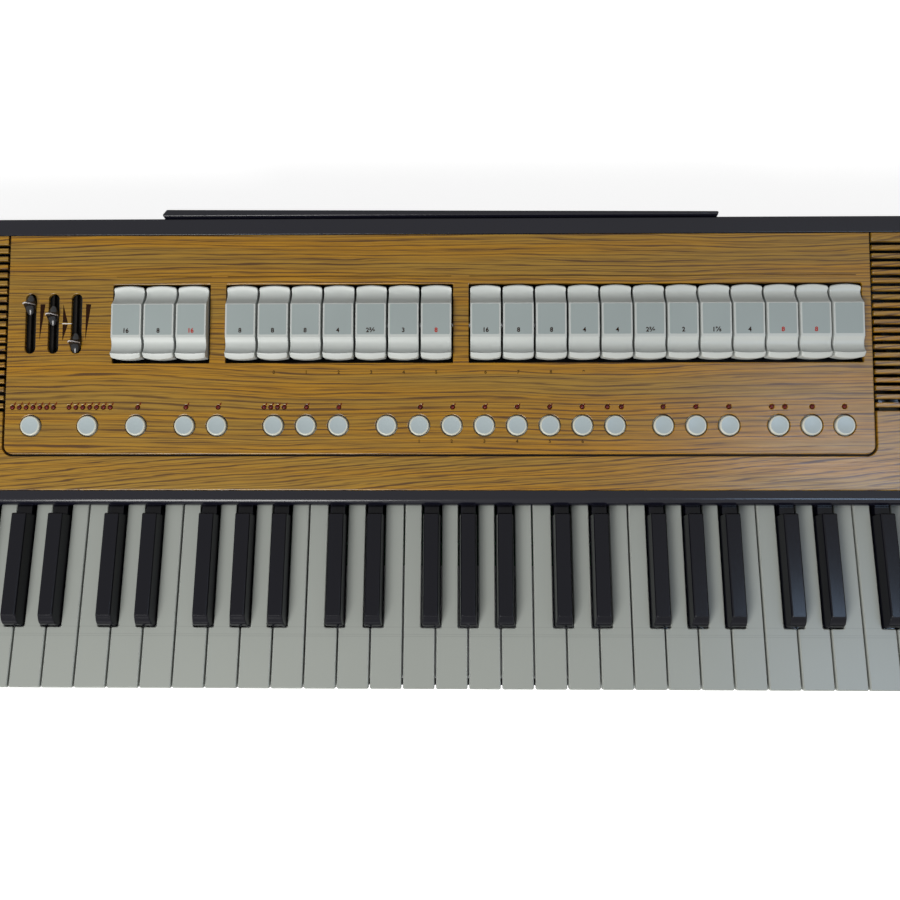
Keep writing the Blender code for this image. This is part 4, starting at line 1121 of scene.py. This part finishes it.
class MakePrint(bpy.types.Operator):
    """Prints the rules, wedges and small numbers on the panel, and paints red lamp light beside each lamp"""

    bl_idname = "organ.print"
    bl_label = "Printed marks"

    def execute(self, context):
        settings = context.scene.organ_panel
        rows = HEADER_ROW, HEADER_ROW + settings.rule_width
        self.inked("header_rules", [rectangle(*ends, *rows) for ends in HEADER_RULES], "rule_ink")
        self.wedges()
        self.ticks()
        self.figures(settings.figure_height)
        return {"FINISHED"}

    def inked(self, name, plans, finish_name):
        """Flat plans in one finish: ink for the print, and the painted red lamp light for the leaves."""
        show(name, [flat_plan(plan, PRINT_LIFT) for plan in plans], ON_PANEL, [finish_name], "case")

    def wedges(self):
        """The wedges beside the slots: upright on the left, and full at the rear.

        The wedge between two others has a gap and a pale line at its middle, and is full beside them.
        """
        low, top = WEDGE_REACH
        under, over = WEDGE_MIDDLE - WEDGE_GAP, WEDGE_MIDDLE + WEDGE_GAP
        plans = []
        for number in range(len(SLIDER_SETTINGS)):
            x = slider_x(number) + WEDGE_PLACE
            wide = x + WEDGE_WIDTH
            if number == 1:
                plans.append([(x, over), (wide, over), (x, top)])
                plans.append([(x, low), (wide, under), (x, under)])
                ends = [x + end for end in MIDDLE_LINE]
            else:
                plans.append([(x, low), (wide, top), (x, top)])
        self.inked("slide_wedges", plans, "black_ink")
        pale = rectangle(*ends, WEDGE_MIDDLE - MIDDLE_LINE_HALF, WEDGE_MIDDLE + MIDDLE_LINE_HALF)
        self.inked("middle_line", [pale], "white_ink")

    def ticks(self):
        """Painted red light beside each lamp: a short leaf of it on the oak, leaning to the right, shorter
        toward the panel's right end.

        Its length is l (0.7 - x / w), and it is widest at 0.4 of that.
        """
        lean = direction(np.array(LEAF_LEAN))
        side = np.array([lean[1], -lean[0]]) * LEAF_HALF_WIDTH
        plans = []
        for x in lamp_middles():
            length = LEAF_LENGTH * (0.7 - x / CONTROL_WIDTH)
            start = np.array([x, LAMP_ROW]) + LEAF_START
            middle = start + lean * length * 0.4
            end = start + lean * length
            plans.append([start, middle + side, end, middle - side])
        self.inked("lamp_red_glow", plans, "dark_red_ink")

    def figures(self, size):
        """The small running numbers under ten of the tabs and under six of the middle buttons."""
        made = []
        places = [(x, TAB_FIGURE_ROW) for x in tab_middles()][FIRST_FIGURE_TAB:][:FIGURES]
        for number, middle in enumerate(places):
            made.append(printed(f"tab_number_{number}", str(number), size, middle, PRINT_LIFT))
        for i, x in enumerate(button_middles([BUTTON_FIGURES])):
            middle = (x, BUTTON_FIGURE_ROW)
            made.append(printed(f"button_number_{i}", str(i + 1), size, middle, PRINT_LIFT))
        put("panel_numbers", together("panel_numbers", made), ["rule_ink"], "case")


# Tabs


def tab_middles():
    """x of every tab's middle, one step after another in each group."""
    return [(first + i + 0.5) * STEP for first, count in TAB_GROUPS for i in range(count)]


def tab_top(settings):
    """Tab's top from the side, front to rear: sloping lip, hollow, label face, hollow and a round edge.

    The lip falls by f (1 - s)^1.3 at the share s of its length.
    """
    half = TAB_LENGTH / 2
    crest = SHAFT_DROP + settings.crest
    front, back = LABEL_FACE
    lip, fall = TAB_LIP
    points = []
    rise = hollow_depth(settings.front_slope, settings.front_bend, FRONT_HOLLOW)
    for share in np.linspace(0.0, 1.0, 6)[:-1]:
        points.append((lip * share - half, crest - rise - fall * (1 - share) ** 1.3))
    for t in np.linspace(1.0, 0.0, 14) * FRONT_HOLLOW:
        points.append((front - t, crest - hollow_depth(settings.front_slope, settings.front_bend, t)))
    rear = half + REAR_OVERHANG
    for t in np.linspace(0.0, 1.0, 15) * (rear - back - REAR_ROUND):
        depth = hollow_depth(settings.rear_slope, settings.rear_bend, t, REAR_STRAIGHT)
        points.append((back + t, crest - depth))
    centre = (rear - REAR_ROUND, points[-1][1] - REAR_ROUND)
    return points + arc(centre, REAR_ROUND, 80, 0, 4)


def hollow_depth(slope, bend, t, straight=0.0):
    """Depth a t - k (t - s)^2 / 2 below the label face at t past its end, the bend starting at s."""
    return slope * t - bend * max(0.0, t - straight) ** 2 / 2


def smooth_step(share):
    """s^2 (3 - 2 s)."""
    return share * share * (3 - 2 * share)


def tab_section(settings):
    """The whole side view: the top, then the underside with a hub that clips over the shaft.

    The clip is an arc r (cos a, sin a) round the shaft, open below.
    """
    half = TAB_LENGTH / 2
    reach = SHAFT_RADIUS + HUB_CLEARANCE
    clip = [(reach * math.cos(a), reach * math.sin(a)) for a in np.radians(np.linspace(-20, 200, 9))]
    wide, narrow = HUB
    hub = [(wide, TAB_UNDERSIDE), (narrow, HUB_FOOT), (reach, HUB_FOOT)]
    mirrored = [(-y, z) for y, z in reversed(hub)]
    front, rear = (UNDER_ENDS[0] - half, TAB_UNDERSIDE), (half + UNDER_ENDS[1], TAB_UNDERSIDE)
    return np.array([*tab_top(settings), rear, *hub, *clip, *mirrored, front])[::-1]


def tab_shell(middle, settings):
    """A tab: its side view run across, drawn in at both flanks, its ends convex in plan.

    Across x, an end point moves back by b (2x/w)^2 and by 0.8 (r - sqrt(r^2 - d^2)), d the distance past
    the corner's start. The flanks are drawn in along a round edge, 0.8 e (1 - sqrt(1 - s^2)).
    """
    section = tab_section(settings)
    half = TAB_LENGTH / 2
    wide = TAB_WIDTH / 2
    across = wide * np.sin(np.linspace(-math.pi / 2, math.pi / 2, 17))
    rings = []
    for x in across:
        edge = max(0.0, abs(x) - (wide - settings.edge)) / settings.edge
        drawn = inset(section, settings.edge * (1 - math.sqrt(max(0.0, 1 - edge**2))) * 0.8)
        past = max(0.0, abs(x) - (wide - settings.corner))
        corner = settings.corner - math.sqrt(max(0.0, settings.corner**2 - past**2))
        back = settings.bulge * (x / wide) ** 2 + corner * 0.8
        share = np.clip((np.abs(drawn[:, 0]) - (half - END_REACH)) / END_REACH, 0.0, 1.0)
        along = drawn[:, 0] - np.sign(drawn[:, 0]) * back * smooth_step(share)
        place = np.full(len(drawn), middle + x), along + TAB_MIDDLE, drawn[:, 1] - SHAFT_DROP
        rings.append(np.column_stack(place))
    return skin(rings)


class MakeTabs(bpy.types.Operator):
    """Makes the rocker tabs with their label films and pitch marks"""

    bl_idname = "organ.tabs"
    bl_label = "Rocker tabs"

    def execute(self, context):
        settings = context.scene.organ_tabs
        for number, middle in enumerate(tab_middles()):
            self.tab(number, middle, settings)
        return {"FINISHED"}

    def tab(self, number, middle, settings):
        node = f"rocker_tab_{number + 1:02d}"
        shells = [tab_shell(middle, settings)]
        show(f"{node}_look", shells, ON_PANEL, ["tab"], node, [node], "tab_plastic", 50)
        wide = TAB_WIDTH / 2 - FILM_MARGIN
        front, back = TAB_MIDDLE - FILM_REACH[0], TAB_MIDDLE + FILM_REACH[1]
        plan = rounded(rectangle(middle - wide, middle + wide, front, back), FILM_CORNER, 3)
        crest = settings.crest
        film = rimmed(plan, [(0.0, crest - FILM), (0.0, crest + FILM / 2), (FILM, crest + FILM)])
        show(f"{node}_film", [film], ON_PANEL, ["label"], node)
        mark = PITCH_MARKS[number]
        if mark:
            finish_name = "red_ink" if number + 1 in RED_MARKS else "black_ink"
            place = (middle, TAB_MIDDLE - MARK_PLACE)
            mesh = printed(f"{node}_mark", mark, MARK_SIZE, place, crest + MARK_LIFT)
            put(f"{node}_mark", mesh, [finish_name], node)


# Slide controls, buttons and lamps


def cap_shell(x, y, settings):
    """A slider cap by level: an oval drawn in to an arched ridge.

    At the share s of the height, the half width a is w sqrt(1 - s^2). The half length b is
    r + (l - r) (1 - s)^3.2, times 1.15 sqrt(1 - s) where that is under 1. The oval is a cos t,
    b sin t |sin t|^0.3.
    """
    tall, wide, long = settings.cap_height, settings.cap_half_width, settings.cap_half_length
    angle = np.linspace(0.0, 2 * math.pi, CAP_SIDES, endpoint=False)
    rings = []
    for share in (-CAP_FOOT / tall, *(np.linspace(0.0, 1.0, 15) ** 0.8 * 0.985)):
        above = max(share, 0.0)
        half_x = wide * math.sqrt(1 - above**2)
        half_y = CAP_RIDGE + (long - CAP_RIDGE) * (1 - above) ** 3.2
        half_y *= min(1.0, 1.15 * math.sqrt(1 - above))
        ring_y = half_y * np.sin(angle) * np.abs(np.sin(angle)) ** 0.3
        height = SEAT + CAP_FOOT + share * (tall - CAP_FOOT)
        ring = x + half_x * np.cos(angle), y + ring_y, np.full(CAP_SIDES, height)
        rings.append(np.column_stack(ring))
    return skin(rings)


def index_shell(x, y, settings):
    """The white line over a cap's crest: a thin band along x = a cos t, z = h sin t."""
    rings = []
    for t in np.radians(np.linspace(16, 164, 25)):
        rise = np.array([math.cos(t) * settings.cap_half_width, math.sin(t) * settings.cap_height])
        out = direction(np.array([math.cos(t) / settings.cap_half_width, math.sin(t) / settings.cap_height]))
        outer, inner = rise + out * INDEX_RISE, rise - out * INDEX_DEPTH
        half = INDEX_HALF_WIDTH
        corners = ((-half, outer), (half, outer), (half, inner), (-half, inner))
        rings.append([(x + across, y + side, up) for side, (across, up) in corners])
    return skin(rings)


class MakeSliders(bpy.types.Operator):
    """Makes the caps of the slide controls, each with its white index line"""

    bl_idname = "organ.sliders"
    bl_label = "Slider caps"

    def execute(self, context):
        settings = context.scene.organ_controls
        for number, setting in enumerate(SLIDER_SETTINGS):
            node = f"slider_cap_{number + 1}"
            x, y = slider_x(number), SLIDER_MIDDLE + setting
            wide, long = STEM
            plan = np.array(rectangle(x - wide / 2, x + wide / 2, y - long / 2, y + long / 2))
            stem = rimmed(plan, [(0.0, SEAT - BOARD_DROP), (0.0, STEM_TOP)])
            shells = [cap_shell(x, y, settings), stem]
            show(f"{node}_look", shells, ON_PANEL, ["cap"], node, [node], "slider_cap_plastic", 60)
            show(f"{node}_index", [index_shell(x, y, settings)], ON_PANEL, ["white_ink"], node)
        return {"FINISHED"}


def button_profile(settings):
    """A button from its skirt up over a round rim to its hollow: z = top - d (1 - s^2), s = x / r."""
    top = BUTTON_RISE
    radius = BUTTON_RADIUS
    dish = settings.dish_radius
    points = [(ON_AXIS, top - settings.dish)]
    for share in (0.3, 0.6, 0.8, 0.92, 1.0):
        points.append((dish * share, top - settings.dish * (1 - share**2)))
    edge = radius - dish - RIM_FLAT
    for a in np.radians(np.linspace(80, 0, 7)):
        points.append((radius - edge + edge * math.cos(a), top - edge + edge * math.sin(a)))
    points.append((radius, -CONTROL_BOARD - BUTTON_SKIRT))
    return points[::-1]


class MakeButtons(bpy.types.Operator):
    """Makes the round buttons on their strips"""

    bl_idname = "organ.buttons"
    bl_label = "Buttons"

    def execute(self, context):
        settings = context.scene.organ_controls
        profile = button_profile(settings)
        for node, runs in BUTTON_STRIPS:
            middles = button_middles(runs)
            reach = BUTTON_RADIUS + STRIP_MARGIN
            rows = BUTTON_ROW - STRIP_HALF_DEPTH, BUTTON_ROW + STRIP_HALF_DEPTH
            plan = rectangle(middles[0] - reach, middles[-1] + reach, *rows)
            shells = [rimmed(np.array(plan), [(0.0, height) for height in STRIP_LEVELS])]
            shells += [turned(profile, (x, BUTTON_ROW), settings.sides) for x in middles]
            # The second finish paints shade into each button's hollow
            finishes = ["button", "dish"]
            obj = show(f"{node}_look", shells, ON_PANEL, finishes, node, [node], "button_plastic")
            self.tint(obj.data, middles, settings.dish_radius)
        return {"FINISHED"}

    def tint(self, mesh, middles, radius):
        """Gives the faces inside each hollow the dish's finish: painted shade, a darker and bluer copy of the
        button plastic.
        """
        back = ON_PANEL.inverted()
        for face in mesh.polygons:
            x, y, z = back @ face.center
            away = min(math.hypot(x - middle, y - BUTTON_ROW) for middle in middles)
            if z > BUTTON_RISE / 2 and away < radius:
                face.material_index = 1


class MakeLamps(bpy.types.Operator):
    """Makes the lamps and the circuit board that carries them"""

    bl_idname = "organ.lamps"
    bl_label = "Lamps"

    def execute(self, context):
        settings = context.scene.organ_controls
        rise = settings.lamp_rise
        angle = np.linspace(0.0, math.pi / 2, 6)
        dome = [(max(LAMP_RADIUS * math.cos(a), ON_AXIS), rise * math.sin(a)) for a in angle]
        profile = [(LAMP_RADIUS, -BOARD_DROP), *dome]
        shells = [turned(profile, (x, LAMP_ROW), 16) for x in lamp_middles()]
        node = ["panel_board"]
        show("lamps", shells, ON_PANEL, ["lamp"], "case", node)
        half = CONTROL_WIDTH / 2 - CIRCUIT_MARGIN
        arm = slider_x(len(SLIDER_SETTINGS) - 1) + CIRCUIT_ARM
        front, step, back = CIRCUIT_ROWS
        plan = [(-half, front), (half, front), (half, step), (arm, step), (arm, back), (-half, back)]
        board = rimmed(np.array(plan), [(0.0, -BOARD_DROP - CIRCUIT_BOARD), (0.0, -BOARD_DROP)])
        show("panel_board_look", [board], ON_PANEL, ["circuit"], "case", node, "circuit_board_green")
        show("slide_tracks", self.tracks(), ON_PANEL, ["cradle"], "case", node)
        return {"FINISHED"}

    def tracks(self):
        """The slide controls' bodies: two sides with the stem's way between them, and its floor."""
        half = SLIDER_SLOT[1] / 2 + TRACK_MARGIN
        near, far = TRACK
        for number in range(len(SLIDER_SETTINGS)):
            x = slider_x(number)
            sides = ((x - far, x - near, -TRACK_DROP), (x + near, x + far, -TRACK_DROP))
            for left, right, top in (*sides, (x - near, x + near, TRACK_FLOOR - BOARD_DROP)):
                plan = rectangle(left, right, SLIDER_MIDDLE - half, SLIDER_MIDDLE + half)
                yield rimmed(np.array(plan), [(0.0, -BOARD_DROP), (0.0, top)])


# Case


def panel_point(up, out):
    """World y and z of a place on the panel."""
    return tuple(ON_PANEL @ Vector((0.0, up, out)))[1:]


def key_rail_profile():
    """The key rail from the side: a round nose, a flat top and a flange under the oak."""
    low, high = node_box("key_rail")
    top = panel_point(0.0, 0.0)[1] - SEAT
    back = low[1] + PANEL_SETBACK - SEAT
    flange = panel_point(KEY_RAIL_FLANGE, -BOARD - SEAT)
    under = panel_point(0.0, -BOARD - SEAT)[1]
    centre = (low[1] + KEY_RAIL_ROUND, top - KEY_RAIL_ROUND)
    points = [(low[1], low[2]), *arc(centre, KEY_RAIL_ROUND, 180, 90)]
    return [*points, (back, top), (back, under), flange, (flange[0], low[2])]


def rear_rail_profile():
    """The rear rail from the side: level with the oak, with a round upper rear corner."""
    start = PANEL_LENGTH + SEAT
    top_back = panel_point(start + RAIL_DEPTH - RAIL_EDGE, -RAIL_EDGE)
    under = panel_point(start, -RAIL_HEIGHT)
    low, high = node_box("rear_rail")
    back = high[1]
    front_edge = [panel_point(start + along, out) for along, out in RAIL_CHAMFER]
    slope = math.degrees(math.atan2(*(np.array(panel_point(1.0, 0.0)) - panel_point(0.0, 0.0))[::-1]))
    crown = arc((back - RAIL_EDGE, top_back[1]), RAIL_EDGE, 90 + slope, 0)
    return [under, *front_edge, *crown, (back, low[2] + RAIL_BACK_LIFT)]


def ledge_shell():
    """The music-rest ledge: a plan with slanted rear corners, less deep to the right, softened on top."""
    low, high = node_box("music_rest_ledge")
    plan = [(low[0], low[1]), (high[0], low[1])]
    plan += [(high[0] - LEDGE_END, high[1] - LEDGE_TAPER), (low[0] + LEDGE_END, high[1])]
    return rimmed(rounded(plan, LEDGE_CORNER, 3), round_rim(low[2], high[2], LEDGE_EDGE))


class MakeCase(bpy.types.Operator):
    """Finishes the rails, the ledge, the case and what lies inside it"""

    bl_idname = "organ.case"
    bl_label = "Case and rails"

    def execute(self, context):
        self.rail("key_rail", key_rail_profile())
        self.rail("rear_rail", rear_rail_profile())
        self.dark("music_rest_ledge", [ledge_shell()])
        for node in ("left_cheek", "right_cheek", "bottom_case"):
            dress(node, "anthracite", CASE_EDGE)
        dress("socket_plate", "anthracite", PLATE_EDGE)
        for side in ("left", "right"):
            dress(f"front_{side}_foot", "rubber")
            dress(f"rear_{side}_foot", "rubber")
            dress(f"{side}_speaker", "speaker")
        for node in ("key_chassis", "tab_shaft"):
            dress(node, "steel")
        for node in ("contact_board", "main_board"):
            dress(node, "circuit")
        dress("tab_cradle", "cradle")
        return {"FINISHED"}

    def rail(self, node, profile):
        low, high = node_box(node)
        self.dark(node, [run(profile, (low[0], high[0]))])

    def dark(self, node, shells):
        finish, slot = "anthracite", "anthracite_plastic"
        show(f"{node}_look", shells, WORLD, [finish], "case", [node], slot, 50)


# Stage


class MakeStage(bpy.types.Operator):
    """Sets up the floor, the light and the camera"""

    bl_idname = "organ.stage"
    bl_label = "Studio"

    def execute(self, context):
        settings = context.scene.organ_stage
        self.floor(settings)
        self.world(settings)
        self.lights(settings)
        self.camera()
        return {"FINISHED"}

    def floor(self, settings):
        half = settings.floor_size / 2
        sheet = flat_plan(rectangle(-half, half, -half, half), -FLOOR_DROP)
        mesh = to_mesh("floor", [sheet], WORLD)
        made = Finish("floor_paper", (0.86, 0.86, 0.86), 0.9, 0.1)
        shade = made.fit(made.noise(2.0), 0.3, 0.7)
        made.link("Base Color", made.mix(shade, (0.85, 0.85, 0.85), (0.88, 0.88, 0.88)))
        made.put("Emission Color", (1.0, 1.0, 1.0, 1.0))
        rays = made.node("ShaderNodeLightPath").outputs
        seen = made.math("MAXIMUM", rays["Is Camera Ray"], rays["Is Glossy Ray"])
        made.link("Emission Strength", made.math("MULTIPLY", seen, FLOOR_GLOW))
        mesh.materials.append(made.material)
        obj = linked("floor", mesh)

    def world(self, settings):
        """White to the eye and in reflections, softer as light on the object."""
        world = bpy.data.worlds.new("studio")
        bpy.context.scene.world = world
        world.use_nodes = True
        tree = world.node_tree
        sky = tree.nodes["Background"]
        sky.inputs["Color"].default_value = (1.0, 1.0, 1.0, 1.0)
        rays = tree.nodes.new("ShaderNodeLightPath")
        seen = None
        for name in ("Is Camera Ray", "Is Glossy Ray", "Is Transmission Ray"):
            if seen is None:
                seen = rays.outputs[name]
                continue
            highest = tree.nodes.new("ShaderNodeMath")
            highest.operation = "MAXIMUM"
            tree.links.new(seen, highest.inputs[0])
            tree.links.new(rays.outputs[name], highest.inputs[1])
            seen = highest.outputs[0]
        level = tree.nodes.new("ShaderNodeMapRange")
        tree.links.new(seen, level.inputs["Value"])
        level.inputs["To Min"].default_value = settings.ambient
        level.inputs["To Max"].default_value = 1.0
        tree.links.new(level.outputs["Result"], sky.inputs["Strength"])

    def lights(self, settings):
        """A warm lamp in front, and a blue one at the right that only reflections show."""
        warm, blue = (1.0, 0.99, 0.97), (0.50, 0.70, 1.0)
        self.area("main_light", MAIN_LIGHT, MAIN_AIM, MAIN_SIZE, settings.main_power, warm)
        sheen = self.area("side_light", SIDE_LIGHT, SIDE_AIM, SIDE_SIZE, settings.side_power, blue)
        sheen.visible_diffuse = False

    def area(self, name, place, target, size, power, colour):
        light = bpy.data.lights.new(name, "AREA")
        light.shape = "RECTANGLE"
        light.size, light.size_y = size
        light.energy = power
        light.color = colour
        obj = linked(name, light)
        aim = Vector(target) - Vector(place)
        obj.location = place
        obj.rotation_euler = aim.to_track_quat("-Z", "Y").to_euler()
        return obj

    def camera(self):
        data = bpy.data.cameras.new("camera")
        data.lens = CAMERA_LENS
        data.sensor_width = CAMERA_SENSOR
        data.clip_start = 0.01
        obj = linked("camera", data)
        turn = Matrix.Rotation(CAMERA_YAW, 4, "Y") @ Matrix.Rotation(CAMERA_PITCH, 4, "X")
        obj.matrix_world = Matrix.Translation(CAMERA_PLACE) @ turn @ Matrix.Rotation(CAMERA_ROLL, 4, "Z")
        bpy.context.scene.camera = obj


# Add-on


class OrganSidebar(bpy.types.Panel):
    """Lists the steps that dress the organ"""

    bl_idname = "VIEW3D_PT_organ"
    bl_label = "Electronic organ"
    bl_space_type = "VIEW_3D"
    bl_region_type = "UI"
    bl_category = "Organ"

    def draw(self, context):
        for step in STEPS:
            self.layout.operator(step.bl_idname)


GROUPS = {
    "organ_keys": OrganKeys,
    "organ_panel": OrganPanel,
    "organ_tabs": OrganTabs,
    "organ_controls": OrganControls,
    "organ_colours": OrganColours,
    "organ_stage": OrganStage,
}
STEPS = (
    MakeWhiteKeys,
    MakeBlackKeys,
    MakePanel,
    MakePrint,
    MakeTabs,
    MakeSliders,
    MakeButtons,
    MakeLamps,
    MakeCase,
    MakeStage,
)


def register():
    for kind in (*GROUPS.values(), *STEPS, OrganSidebar):
        bpy.utils.register_class(kind)
    for name, kind in GROUPS.items():
        setattr(bpy.types.Scene, name, PointerProperty(type=kind))


def unregister():
    for name in GROUPS:
        delattr(bpy.types.Scene, name)
    for kind in (OrganSidebar, *STEPS[::-1], *GROUPS.values()):
        bpy.utils.unregister_class(kind)


def main():
    register()
    make_finishes()
    bpy.context.scene.view_settings.view_transform = "Standard"
    for step in STEPS:
        group, name = step.bl_idname.split(".")
        getattr(getattr(bpy.ops, group), name)()


if __name__ == "__main__":
    main()
